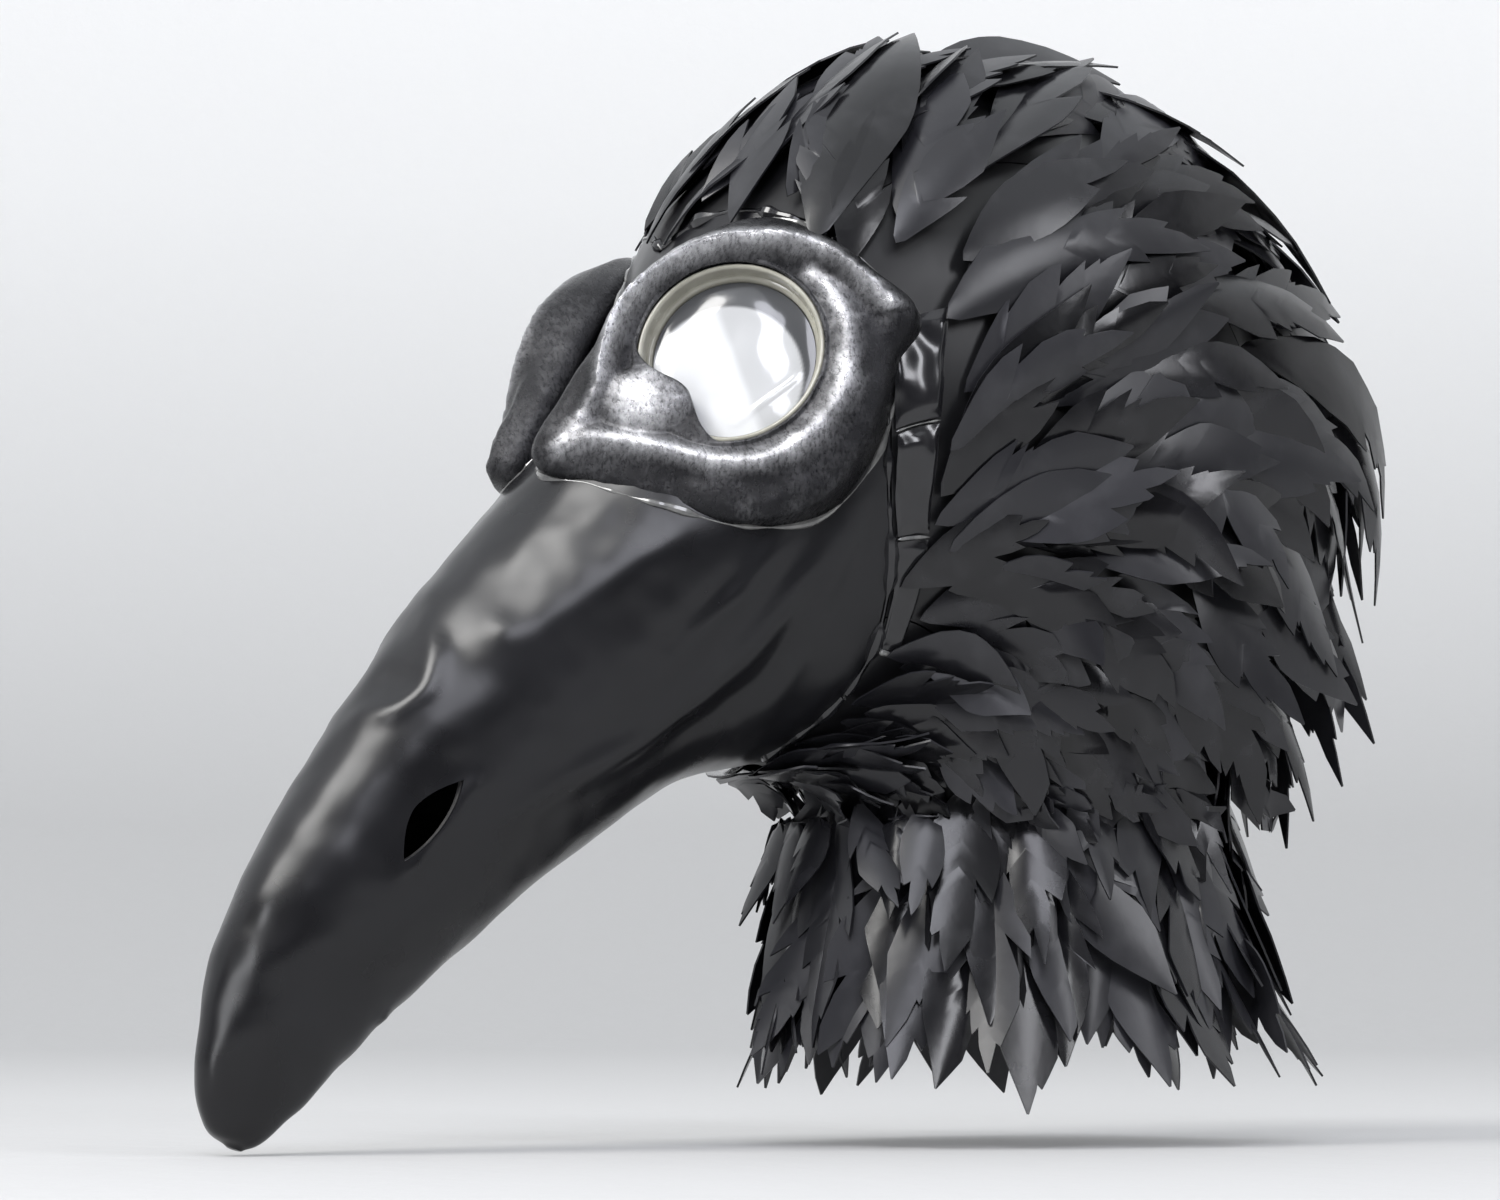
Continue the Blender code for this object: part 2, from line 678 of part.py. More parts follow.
def make_feathers(material):
    """Head rows from forehead to nape, then the neck rows, the jaw rows and the chin tuft."""
    for index, flare in enumerate(HEAD_ROW_FLARES):
        arc = HEAD_ROW_ARC - index * ROW_ARC_LOSS
        feather_row(f"feather_row_{index + 1}", head_row_root(index), arc, HEAD_FEATHER, flare, material)
    for index, (root, flare) in enumerate(zip(NECK_ROW_ROOTS, NECK_ROW_FLARES)):
        feather_row(
            f"neck_row_{index + 1}", lambda around, root=root: root, pi, NECK_FEATHER, flare, material,
        )
    for index, setback in enumerate(JAW_ROW_SETBACKS):
        root = jaw_row_root(setback)
        feather_row(f"jaw_row_{index + 1}", root, JAW_ROW_ARC, JAW_FEATHER, SIDE_FLARE, material, centre=pi)
    feather_row(
        "chin_tuft", lambda around: NECK_START, CHIN_ARC, CHIN_FEATHER, SIDE_FLARE, material,
        centre=pi, base_lift=CHIN_LIFT,
    )


# ---------------------------------------------------------------- harness
def box(name, size, centre, material):
    """A block from a cube, with its size applied."""
    mesh = bpy.data.meshes.new(name)
    shape = bmesh.new()
    bmesh.ops.create_cube(shape, size=1.0, matrix=Matrix.Diagonal((*size, 1.0)))
    shape.to_mesh(mesh)
    shape.free()
    thing = add_object(name, mesh, material)
    thing.location = centre
    return thing


def round_edges(thing, width):
    """Round a block's edges."""
    bevel = thing.modifiers.new("round", "BEVEL")
    bevel.width = width
    bevel.segments = 2


def strap_path(share):
    """The strap's route round the head, from the left anchor to the right one."""
    straight = STRAP_BEND - STRAP_FRONT
    if share < STRAP_STRAIGHT_SHARE:
        return Vector((STRAP_SIDE, STRAP_FRONT + straight * share / STRAP_STRAIGHT_SHARE, 0.0))
    if share > 1 - STRAP_STRAIGHT_SHARE:
        back = (1 - share) / STRAP_STRAIGHT_SHARE
        return Vector((-STRAP_SIDE, STRAP_FRONT + straight * back, 0.0))
    angle = pi * (share - STRAP_STRAIGHT_SHARE) / (1 - 2 * STRAP_STRAIGHT_SHARE)
    return Vector((STRAP_SIDE * cos(angle), STRAP_BEND + STRAP_BACK_DEPTH * sin(angle), 0.0))


def make_strap(material):
    """A flat elastic strap that holds the mask back against the face."""
    def place(across, down):
        lift = Vector((0.0, 0.0, STRAP_HEIGHT + STRAP_WIDTH * (0.5 - across)))
        return strap_path(down) + lift

    strap = sheet("head_strap", place, 1, 24, STRAP_SHEET, material)
    strap.modifiers["sheet"].offset = 0.0
    for side in (1, -1):
        cut(strap, rivet_hole(side))
    return strap


def rivet_hole(side):
    """A round cutter through strap and anchor plate."""
    mesh = bpy.data.meshes.new("rivet_hole")
    shape = bmesh.new()
    bmesh.ops.create_cone(
        shape, cap_ends=True, segments=RIVET_SIDES, radius1=RIVET_SHANK + GAP, radius2=RIVET_SHANK + GAP,
        depth=RIVET_CUT_DEPTH, matrix=Matrix.Rotation(pi / 2, 4, "Y"),
    )
    shape.to_mesh(mesh)
    shape.free()
    hole = add_object("rivet_hole", mesh)
    hole.location = (side * STRAP_SIDE, RIVET_Y, STRAP_HEIGHT)
    return mark_cutter(hole)


def make_anchor(side, name, material):
    """A plate glued inside the hood that the strap's end is riveted to."""
    inner_face = STRAP_SIDE + STRAP_SHEET / 2 + GAP
    centre = Vector((side * (inner_face + ANCHOR_SIZE.x / 2), RIVET_Y, STRAP_HEIGHT))
    plate = box(f"strap_anchor_{name}", ANCHOR_SIZE, centre, material)
    cut(plate, rivet_hole(side))


def make_rivet(side, name, material):
    """A rivet with its head inside the strap and its shank through the anchor plate."""
    head_face = STRAP_SIDE - STRAP_SHEET / 2 - GAP
    shank_end = STRAP_SHEET + 2 * GAP + ANCHOR_SIZE.x
    profile = (
        (0.0, shank_end), (RIVET_SHANK, shank_end), (RIVET_SHANK, 0.0), (RIVET_HEAD, 0.0),
        (RIVET_HEAD * RIVET_HEAD_TOP, -RIVET_HEAD_THICKNESS), (0.0, -RIVET_HEAD_THICKNESS),
    )
    matrix = Matrix.Rotation(side * pi / 2, 4, "Y")
    matrix.translation = Vector((side * head_face, RIVET_Y, STRAP_HEIGHT))
    turned(f"strap_rivet_{name}", profile, material, matrix, steps=RIVET_SIDES)


def make_slider(material):
    """The keeper that slides along the strap's left side; its origin is on the slide's axis."""
    centre = Vector((STRAP_SIDE, SLIDER_HOME, STRAP_HEIGHT))
    slider = box("strap_slider", SLIDER_SIZE, centre, material)
    round_edges(slider, SLIDER_ROUNDING)
    slot = mark_cutter(box("slider_slot", SLIDER_SLOT, centre, material))
    cut(slider, slot)


def make_pads(foam):
    """Foam pads that stand the hood off the head."""
    pads = {name: hood_pad(name, arc, turns, thickness, foam) for name, arc, turns, thickness in PADS}
    size = Vector((0.20, 0.20, 0.06))   # larger than the crown pad each way
    centre = Vector((0.0, 0.0, CROWN_PAD_UNDERSIDE - size.z / 2))
    cut(pads["crown_pad"], mark_cutter(box("crown_pad_cutter", size, centre, foam)))


# ---------------------------------------------------------------- assembly
def make_eyes(pewter, cream, clear, cutters):
    """Both eye assemblies: surround, ring, lens and the retainer behind it."""
    for side, name in ((1, "left"), (-1, "right")):
        matrix = lens_matrix(side)
        make_eye_surround(f"eye_surround_{name}", side, pewter)
        turned(f"lens_ring_{name}", lens_ring_profile(), cream, matrix)
        lens_profile = ((0.0, LENS_THICKNESS), (LENS_RADIUS, LENS_THICKNESS), (LENS_RADIUS, 0.0), (0.0, 0.0))
        turned(f"lens_{name}", lens_profile, clear, matrix)
        retainer = tube_profile(RETAINER_BORE, LENS_RADIUS, RING_BACK, -GAP)
        turned(f"lens_retainer_{name}", retainer, cream, matrix)


def build():
    """Model the whole mask."""
    vinyl = make_material("black_vinyl", (0.020, 0.020, 0.023), 0.32)
    former = make_material("grey_former", (0.10, 0.10, 0.11), 0.60)
    pewter = make_material("pewter_rub", (0.22, 0.22, 0.23), 0.38, 0.85)
    cream = make_material("cream_plastic", (0.66, 0.62, 0.50), 0.25)
    clear = make_material("clear_plastic", (0.90, 0.92, 0.93), 0.08)
    gloss = make_material("gloss_vinyl", (0.012, 0.012, 0.014), 0.15)
    hood_sheet = make_material("hood_sheet", (0.018, 0.018, 0.020), 0.55)
    feather = make_material("feather_sheet", (0.028, 0.028, 0.032), 0.42)
    foam = make_material("black_foam", (0.030, 0.030, 0.032), 0.90)
    webbing = make_material("elastic_webbing", (0.020, 0.020, 0.022), 0.80)
    nickel = make_material("nickel", (0.60, 0.59, 0.57), 0.28, 1.0)
    slider = make_material("slider_plastic", (0.018, 0.018, 0.020), 0.42)

    eye_cutters = [make_eye_cutter(1), make_eye_cutter(-1)]
    nostril_cutter = make_nostril_cutter()
    make_beak_skin(vinyl, [*eye_cutters, nostril_cutter])
    make_tip_core(former)
    make_beak_frame("beak_frame_left", 1, former, [eye_cutters[0], nostril_cutter])
    make_beak_frame("beak_frame_right", -1, former, [eye_cutters[1], nostril_cutter])
    make_eyes(pewter, cream, clear, eye_cutters)
    make_hood(hood_sheet, eye_cutters)
    make_temple_patches(gloss, eye_cutters)
    make_feathers(feather)
    make_pads(foam)
    make_strap(webbing)
    for side, name in ((1, "left"), (-1, "right")):
        make_anchor(side, name, former)
        make_rivet(side, name, nickel)
    make_slider(slider)


clear_scene()
PARTS = make_collection("raven_plague_doctor_mask")
CUTTERS = make_collection("cutters")
build()
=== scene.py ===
"""Looks of the raven plague doctor mask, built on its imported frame.

The wearer faces -Y, the wearer's left is +X and up is +Z. All sizes are metres. The surface
formulas and driving sizes repeat the design's, so that the visible pieces sit on the same surfaces
as the CAD solids. Feathers and the eye surrounds' outline differ a little from theirs.
"""

import random
from math import cos, degrees, exp, hypot, log, pi, radians, sin, sqrt

import bmesh
import bpy
from mathutils import Matrix, Vector, noise


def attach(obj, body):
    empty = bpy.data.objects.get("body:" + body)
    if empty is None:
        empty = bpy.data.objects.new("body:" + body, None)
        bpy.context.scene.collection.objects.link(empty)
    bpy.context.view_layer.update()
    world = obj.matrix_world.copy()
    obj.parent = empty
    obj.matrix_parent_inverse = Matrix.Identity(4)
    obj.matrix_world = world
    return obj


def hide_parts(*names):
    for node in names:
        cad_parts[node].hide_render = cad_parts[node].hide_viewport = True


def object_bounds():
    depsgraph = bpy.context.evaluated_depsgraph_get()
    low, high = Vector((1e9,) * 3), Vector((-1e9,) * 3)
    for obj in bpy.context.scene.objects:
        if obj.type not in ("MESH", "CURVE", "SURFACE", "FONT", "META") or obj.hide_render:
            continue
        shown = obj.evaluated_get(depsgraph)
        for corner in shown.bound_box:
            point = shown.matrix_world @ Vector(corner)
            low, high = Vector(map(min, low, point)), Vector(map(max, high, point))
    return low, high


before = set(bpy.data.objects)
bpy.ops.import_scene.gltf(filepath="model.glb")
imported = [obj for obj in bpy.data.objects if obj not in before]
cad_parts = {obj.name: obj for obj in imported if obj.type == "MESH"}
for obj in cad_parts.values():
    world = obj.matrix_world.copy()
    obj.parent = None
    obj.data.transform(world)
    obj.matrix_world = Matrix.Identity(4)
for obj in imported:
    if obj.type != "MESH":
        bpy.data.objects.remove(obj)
CAD_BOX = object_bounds()
MM = 0.001

# ---------------------------------------------------------------- design sizes
GAP = 0.0003                    # clearance kept between neighbouring pieces
STEP = 0.001                    # small parameter step used to find a surface direction
WELD = 0.00001                  # points closer than this are one point
SHARP_ANGLE = radians(40)       # edges that turn more than this stay sharp
THROAT = Vector((0.0, -0.055, -0.162))
FACE_LEAN = radians(-12)
HOOD_TURN = radians(102)
NECK_DROP = 0.100
NECK_FLARE = 0.16
HEM = 1.46
CRANIUM_SWELL = 0.08
BORDER_SETBACK = 0.020
HOOD_SHEET = 0.0020
GLUE_BED = 0.0020
FACE_SEAM = 0.0018

# Hood sections: turn, distance of the throat side, distance of the outer side, half width
HOOD_SECTIONS = (
    (0.00, 0.015, 0.203, 0.084),
    (0.07, 0.015, 0.238, 0.087),
    (0.22, 0.016, 0.287, 0.092),
    (0.41, 0.018, 0.315, 0.096),
    (0.61, 0.022, 0.288, 0.094),
    (0.80, 0.031, 0.220, 0.082),
    (1.00, 0.040, 0.190, 0.064),
)

# Face border: degrees round the hood from the forehead, turn; it reaches furthest back at the jaw
FACE_BORDER = (
    (0, BORDER_SETBACK), (33, 0.070), (52, 0.110), (72, 0.146), (88, 0.158), (106, 0.188), (124, 0.262),
    (138, 0.315), (152, 0.300), (167, 0.150), (180, BORDER_SETBACK),
)

# Beak sections from tip to bridge: ridge y and z, underside y and z, half width
BEAK_SECTIONS = (
    (-0.2655, -0.2885, -0.2590, -0.2905, 0.0030),
    (-0.2735, -0.2790, -0.2500, -0.2860, 0.0095),
    (-0.2765, -0.2520, -0.2290, -0.2660, 0.0165),
    (-0.2710, -0.2220, -0.2050, -0.2430, 0.0240),
    (-0.2540, -0.1840, -0.1780, -0.2195, 0.0320),
    (-0.2320, -0.1470, -0.1480, -0.1950, 0.0390),
    (-0.2040, -0.1070, -0.1180, -0.1735, 0.0470),
    (-0.1760, -0.0720, -0.0940, -0.1575, 0.0550),
    (-0.1500, -0.0420, -0.0780, -0.1510, 0.0630),
    (-0.1210, -0.0040, -0.0670, -0.1490, 0.0720),
)
BEAK_SKIN_SHEET = 0.0012
BEAK_FRAME_SHEET = 0.0025
BEAK_FRAME_SPAN = (0.15, 0.95)
TIP_LEVEL = -0.20

NOSTRIL_CENTRE = Vector((0.0, -0.201, -0.1715))
NOSTRIL_LENGTH = 0.036
NOSTRIL_WIDTH = 0.011
NOSTRIL_SLOPE = radians(55)

LENS_CENTRE = Vector((0.058, -0.090, 0.000))
LENS_YAW = radians(50)
LENS_RISE = radians(14)
RING_RADIUS = 0.0355
RING_BORE = 0.0312
RING_BACK = -0.0050
RING_FRONT = 0.0085
SURROUND_BORE = 0.0358
SURROUND_BACK = -0.0120

# Eye surround outline: angle from the rear corner side counter-clockwise, radius
SURROUND_OUTLINE = (
    (0, 0.0610), (14, 0.0700), (32, 0.0615), (55, 0.0580), (82, 0.0570), (110, 0.0510),
    (142, 0.0480), (172, 0.0530), (192, 0.0670), (207, 0.0835), (224, 0.0700), (250, 0.0620),
    (275, 0.0645), (300, 0.0665), (326, 0.0620), (345, 0.0600),
)

FEATHER_SHEET = 0.0008
ROOT_LIFT = 0.0024
HEAD_ROWS = 8
HEAD_ROW_PITCH = 0.108
HEAD_ROW_ARC = radians(113)
LONGEST_SWEEP = 0.24
FIRST_ROW_SETBACK = 0.035
ROW_BOW = 0.068
NECK_ROW_ROOTS = (0.97, 1.20, 1.42)
SIDE_FLARE = 0.21
NECK_ROW_FLARES = (0.26, 0.34, 0.50)
JAW_ROW_SETBACKS = (0.050, 0.180, 0.310)
CHIN_LIFT = 0.0130
NECK_START = 1.00
LAST_HEAD_ROOT = 0.90

TEMPLE_PATCHES = (("upper", 76.0, 94.0), ("middle", 95.0, 113.0), ("lower", 114.0, 134.0))
PATCH_TURN = 0.068
PATCH_SETBACK = 0.004
PATCH_SHEET = 0.0010
PATCH_EDGE_PRESS = 0.0012       # a strip's edges are pressed down this far

STRAP_WIDTH = 0.024
STRAP_SHEET = 0.0015
STRAP_SIDE = 0.074              # distance of the strap's straight sides from the middle plane
STRAP_FRONT = -0.004
STRAP_BEND = 0.058              # the strap starts to curve round the back of the head here
STRAP_BACK_DEPTH = 0.084
STRAP_HEIGHT = 0.006
STRAP_STRAIGHT_SHARE = 0.20
RIVET_Y = 0.004
ANCHOR_SIZE = Vector((0.0030, 0.0160, 0.0340))
RIVET_SHANK = 0.0020
RIVET_HEAD = 0.0045
RIVET_HEAD_THICKNESS = 0.0012
SLIDER_SIZE = Vector((0.0056, 0.0150, 0.0320))
SLIDER_SLOT = Vector((0.0026, 0.0200, 0.0252))
SLIDER_HOME = 0.034             # y of the slider at rest
CROWN_PAD_UNDERSIDE = 0.108
TIP_CORE_SPAN = (0.03, 0.14)

# Foam pads: name, the CAD node, degrees round the hood, turns, thickness
PADS = (
    ("forehead", "forehead_pad", (-22, 22), (0.09, 0.15), 0.026),
    ("crown", "crown_pad", (-17, 17), (0.25, 0.37), 0.022),
    ("back", "back_pad", (-26, 26), (0.60, 0.74), 0.010),
    ("cheek_left", "cheek_pad_left", (98, 124), (0.24, 0.40), 0.010),
    ("cheek_right", "cheek_pad_right", (-124, -98), (0.24, 0.40), 0.010),
)
PAD_STEPS = 14                  # grid of each pad
PAD_EDGE_SHARE = 0.84           # thickness at a pad's edge as a share of its middle
PAD_ROUNDING = 0.0022

# ---------------------------------------------------------------- looks: driving values
BODY = "mask"
KEEPER_BODY = "keeper"
LEFT_AND_RIGHT = ((1, "left"), (-1, "right"))

CAMERA_AZIMUTH = radians(61.8)
CAMERA_ELEVATION = radians(-5.0)
CAMERA_DISTANCE = 1.70
CAMERA_AIM = Vector((0.0518, -0.0803, -0.0881))  # the point in the middle of the view
CAMERA_LENS = 110.2                             # focal length in millimetres on a 36 mm sensor

# Room round the mask. Its dark side is painted shade, fixed in the room on the side of the camera's azimuth;
# its pale wall gives off painted light.
FLOOR_RADIUS = 3.4
WALL_BEND = 2.0
WALL_HEIGHT = 5.5
PAINTED_SHADE_FROM = 0.9                 # the room's painted shade sets in between these distances towards the camera
PAINTED_SHADE_TO = 2.0
FLOOR_TONE = 0.40
WALL_TONE = 0.86
PAINTED_SHADE_SHARE = 0.12               # tone left in the painted shade of the room
GLOW = 0.27                     # painted light that the pale wall gives off itself, though it is no lamp


# ---------------------------------------------------------------- curves and surfaces
def spline(keys, place):
    """A smooth curve through (place, value, value ...) keys; it returns the values at one place."""
    last = len(keys) - 2
    index = max(k for k in range(last + 1) if k == 0 or keys[k][0] <= place)
    before = keys[max(index - 1, 0)]
    start = keys[index]
    end = keys[index + 1]
    after = keys[min(index + 2, last + 1)]
    span = end[0] - start[0]
    share = (place - start[0]) / span
    values = []
    for a, b, c, d in zip(before[1:], start[1:], end[1:], after[1:]):
        leave = (c - a) / (end[0] - before[0]) * span
        arrive = (d - b) / (after[0] - start[0]) * span
        cubic = 2 * (b - c) + leave + arrive
        square = 3 * (c - b) - 2 * leave - arrive
        values.append(b + share * (leave + share * (square + share * cubic)))
    return values


def lifted(point_at, u, v, lift):
    """A point raised off a surface along its outward direction."""
    here = point_at(u, v)
    if lift == 0:
        return here
    along_u = point_at(u + STEP, v) - point_at(u - STEP, v)
    along_v = point_at(u, v + STEP) - point_at(u, v - STEP)
    return here + along_v.cross(along_u).normalized() * lift


def hood_radii(turn):
    """Throat side distance, outer side distance and half width of the hood at a turn."""
    return spline(HOOD_SECTIONS, min(max(turn, 0.0), 1.0))


def hood_reach(turn, around):
    """Distance of the hood surface from the throat line."""
    inner, outer, _ = hood_radii(turn)
    return (inner + outer) / 2 + (outer - inner) / 2 * cos(around)


def hood_point(turn, around):
    """A point of the hood: turn runs from the face border (0) to the neck (1) and on to the hem."""
    inner, outer, half_width = hood_radii(turn)
    below = max(turn - 1.0, 0.0)
    angle = FACE_LEAN + HOOD_TURN * min(turn, 1.0)
    spread = 1 + NECK_FLARE * below
    reach = (inner + outer) / 2 + (outer - inner) / 2 * cos(around) * spread
    x = half_width * sin(around) * (1 + CRANIUM_SWELL * cos(around)) * spread
    y = THROAT.y + reach * sin(angle)
    z = THROAT.z + reach * cos(angle) - NECK_DROP * below
    return Vector((x, y, z))


def border_turn(around):
    """Turn of the seam between the beak skin and the hood, the same on both sides."""
    place = abs((degrees(around) + 180) % 360 - 180)
    return spline(FACE_BORDER, place)[0]


def seam_turn(around):
    """Turn of the hood's front edge, just behind the beak skin."""
    border = border_turn(around)
    return border + FACE_SEAM / (hood_reach(border, around) * HOOD_TURN)


def beak_ring_point(section, around):
    """A point on one beak section: 0 is the ridge, pi the underside."""
    ridge_y, ridge_z, under_y, under_z, half_width = section
    middle = Vector((0.0, (ridge_y + under_y) / 2, (ridge_z + under_z) / 2))
    to_ridge = Vector((0.0, (ridge_y - under_y) / 2, (ridge_z - under_z) / 2))
    side = Vector((half_width * sin(around), 0.0, 0.0))
    return middle + to_ridge * cos(around) + side


def beak_point(along, around):
    """A point of the smooth beak: along runs from the tip (0) to the seam with the hood (1)."""
    count = len(BEAK_SECTIONS)
    first = min(max(int(along * count) - 1, 0), count - 1)
    keys = []
    for index in range(first, min(first + 4, count)):
        keys.append((index / count, *beak_ring_point(BEAK_SECTIONS[index], around)))
    if len(keys) < 4:
        keys.append((1.0, *hood_point(border_turn(around), around)))
    return Vector(spline(keys, along))


def lens_axes(side):
    """Rearward, upward and outward directions of an eye."""
    outward = Vector((
        side * sin(LENS_YAW) * cos(LENS_RISE),
        -cos(LENS_YAW) * cos(LENS_RISE),
        sin(LENS_RISE),
    ))
    rearward = Vector((side * cos(LENS_YAW), sin(LENS_YAW), 0.0))
    upward = outward.cross(rearward) * side
    return rearward, upward, outward


def eye_place(side, right, up, out):
    """World position of a point given on an eye's own axes."""
    rearward, upward, outward = lens_axes(side)
    centre = Vector((side * LENS_CENTRE.x, LENS_CENTRE.y, LENS_CENTRE.z))
    return centre + rearward * right + upward * up + outward * out


def bump(distance, width):
    """A soft hump that falls from 1 to 0 over about twice its width."""
    return exp(-(distance / width) ** 2)


def smooth_share(value, start, end):
    """0 before start, 1 after end, and a smooth turn between."""
    share = min(max((value - start) / (end - start), 0.0), 1.0)
    return share * share * (3 - 2 * share)


def line_distance(spot, line):
    """Distance from a flat point to a polyline, and the share of the line's length at the nearest place."""
    best = None
    lengths = [(b - a).length for a, b in zip(line, line[1:])]
    total = sum(lengths)
    walked = 0.0
    for a, b, length in zip(line, line[1:], lengths):
        share = min(max((spot - a).dot(b - a) / length ** 2, 0.0), 1.0)
        distance = (spot - a.lerp(b, share)).length
        if best is None or distance < best[0]:
            best = (distance, (walked + share * length) / total)
        walked += length
    return best


def wobble(point, size, seed=0.0):
    """Smooth noise of about -1 to 1 with the given feature size."""
    return noise.noise(point / size + Vector((seed, seed * 2.3, -seed))) * 2


# ---------------------------------------------------------------- mesh helpers
def make_object(name, points, faces):
    """An object from points and faces, shaded smooth."""
    mesh = bpy.data.meshes.new(name)
    mesh.from_pydata(points, [], faces)
    mesh.update()
    mesh.shade_smooth()
    thing = bpy.data.objects.new(name, mesh)
    bpy.context.scene.collection.objects.link(thing)
    return thing


def grid_faces(columns, rows, closed_columns=False, closed_rows=False, first=0):
    """Quads of a grid with (columns + 1) x (rows + 1) points, or fewer where it closes on itself."""
    wide = columns if closed_columns else columns + 1
    tall = rows if closed_rows else rows + 1
    faces = []
    for row in range(rows):
        for column in range(columns):
            right = (column + 1) % wide
            below = (row + 1) % tall
            faces.append((
                first + row * wide + column,
                first + below * wide + column,
                first + below * wide + right,
                first + row * wide + right,
            ))
    return faces


def surface(name, place, columns, rows, thickness=0.0, closed=False):
    """A curved sheet: place(across, down) gives points; its faces point out where across x down does."""
    wide = columns if closed else columns + 1
    points = []
    for row in range(rows + 1):
        for column in range(wide):
            points.append(place(column / columns, row / rows))
    thing = make_object(name, points, grid_faces(columns, rows, closed_columns=closed))
    thing.data.flip_normals()
    if thickness:
        thicken(thing, thickness)
    return thing


def edit_mesh(thing, *changes):
    """Make changes to a piece's mesh, one after another."""
    shape = bmesh.new()
    shape.from_mesh(thing.data)
    for change in changes:
        change(shape)
    shape.to_mesh(thing.data)
    shape.free()


def face_outward(shape):
    """Make all faces of a closed mesh point out."""
    bmesh.ops.recalc_face_normals(shape, faces=shape.faces)


def merge_points(shape):
    """Join points that lie on each other."""
    bmesh.ops.remove_doubles(shape, verts=shape.verts, dist=WELD)


def fill_holes(shape):
    """Close a mesh's open ends with flat faces."""
    bmesh.ops.holes_fill(shape, edges=shape.edges, sides=0)


def thicken(thing, thickness, offset=-1.0):
    """Give an open surface its thickness."""
    solidify = thing.modifiers.new("sheet", "SOLIDIFY")
    solidify.thickness = thickness
    solidify.offset = offset
    solidify.use_even_offset = True


def settle(thing):
    """Apply a piece's modifiers, and keep its sheet edges sharp."""
    bpy.context.view_layer.update()
    shape = thing.evaluated_get(bpy.context.evaluated_depsgraph_get())
    mesh = bpy.data.meshes.new_from_object(shape)
    thing.modifiers.clear()
    thing.data = mesh
    mesh.shade_smooth()
    mesh.set_sharp_from_angle(angle=SHARP_ANGLE)


def finish_piece(thing, material, replaced=(), body=BODY):
    """Give a piece its finish, its body and the CAD nodes that it stands for."""
    thing.data.materials.clear()
    thing.data.materials.append(material)
    if replaced:
        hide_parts(*replaced)
    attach(thing, body)


def turned(name, profile, side, steps=96):
    """A closed (radius, height) profile turned round an eye's lens axis."""
    points = []
    for radius, height in profile:
        for step in range(steps):
            angle = 2 * pi * step / steps
            points.append(eye_place(side, radius * cos(angle), radius * sin(angle), height))
    thing = make_object(name, points, grid_faces(steps, len(profile), closed_columns=True, closed_rows=True))
    if side < 0:
        thing.data.flip_normals()
    thing.data.set_sharp_from_angle(angle=radians(50))
    return thing


# ---------------------------------------------------------------- materials
def node_material(name):
    """A new material, with its Principled shader and its node tree."""
    material = bpy.data.materials.new(name)
    material.use_nodes = True
    tree = material.node_tree
    return material, tree.nodes["Principled BSDF"], tree


def add_node(tree, kind, **settings):
    """A shader node: keywords that name an input set it, the others set a property."""
    node = tree.nodes.new(kind)
    for key, value in settings.items():
        title = key.replace("_", " ").title()
        if title in node.inputs:
            node.inputs[title].default_value = value
        else:
            setattr(node, key, value)
    return node


def place_noise(tree, scale, detail=4.0, roughness=0.55, stretch=(1.0, 1.0, 1.0)):
    """Noise fixed to the object; stretch scales each axis."""
    place = add_node(tree, "ShaderNodeTexCoord")
    mapping = add_node(tree, "ShaderNodeMapping")
    mapping.inputs["Scale"].default_value = stretch
    texture = add_node(tree, "ShaderNodeTexNoise", scale=scale, detail=detail, roughness=roughness)
    tree.links.new(place.outputs["Object"], mapping.inputs["Vector"])
    tree.links.new(mapping.outputs["Vector"], texture.inputs["Vector"])
    return texture.outputs["Fac"]


def ramp(tree, source, low, high, low_value, high_value):
    """Map a value from low..high to two numbers."""
    node = add_node(tree, "ShaderNodeMapRange")
    node.inputs["From Min"].default_value = low
    node.inputs["From Max"].default_value = high
    node.inputs["To Min"].default_value = low_value
    node.inputs["To Max"].default_value = high_value
    tree.links.new(source, node.inputs["Value"])
    return node.outputs["Result"]


def blend_colours(tree, source, dark, light, low=0.3, high=0.7):
    """A colour between two, driven by a value."""
    node = add_node(tree, "ShaderNodeValToRGB")
    node.color_ramp.elements[0].position = low
    node.color_ramp.elements[0].color = (*dark, 1.0)
    node.color_ramp.elements[1].position = high
    node.color_ramp.elements[1].color = (*light, 1.0)
    tree.links.new(source, node.inputs["Fac"])
    return node.outputs["Color"]


def multiply(tree, first, second):
    """The product of two values."""
    node = add_node(tree, "ShaderNodeMath", operation="MULTIPLY")
    tree.links.new(first, node.inputs[0])
    tree.links.new(second, node.inputs[1])
    return node.outputs["Value"]


def add_bumps(tree, shader, layers):
    """Chain bump layers of (height, strength, depth in metres) onto the shader."""
    normal = None
    for height, strength, depth in layers:
        node = add_node(tree, "ShaderNodeBump", strength=strength, distance=depth)
        tree.links.new(height, node.inputs["Height"])
        if normal is not None:
            tree.links.new(normal, node.inputs["Normal"])
        normal = node.outputs["Normal"]
    tree.links.new(normal, shader.inputs["Normal"])


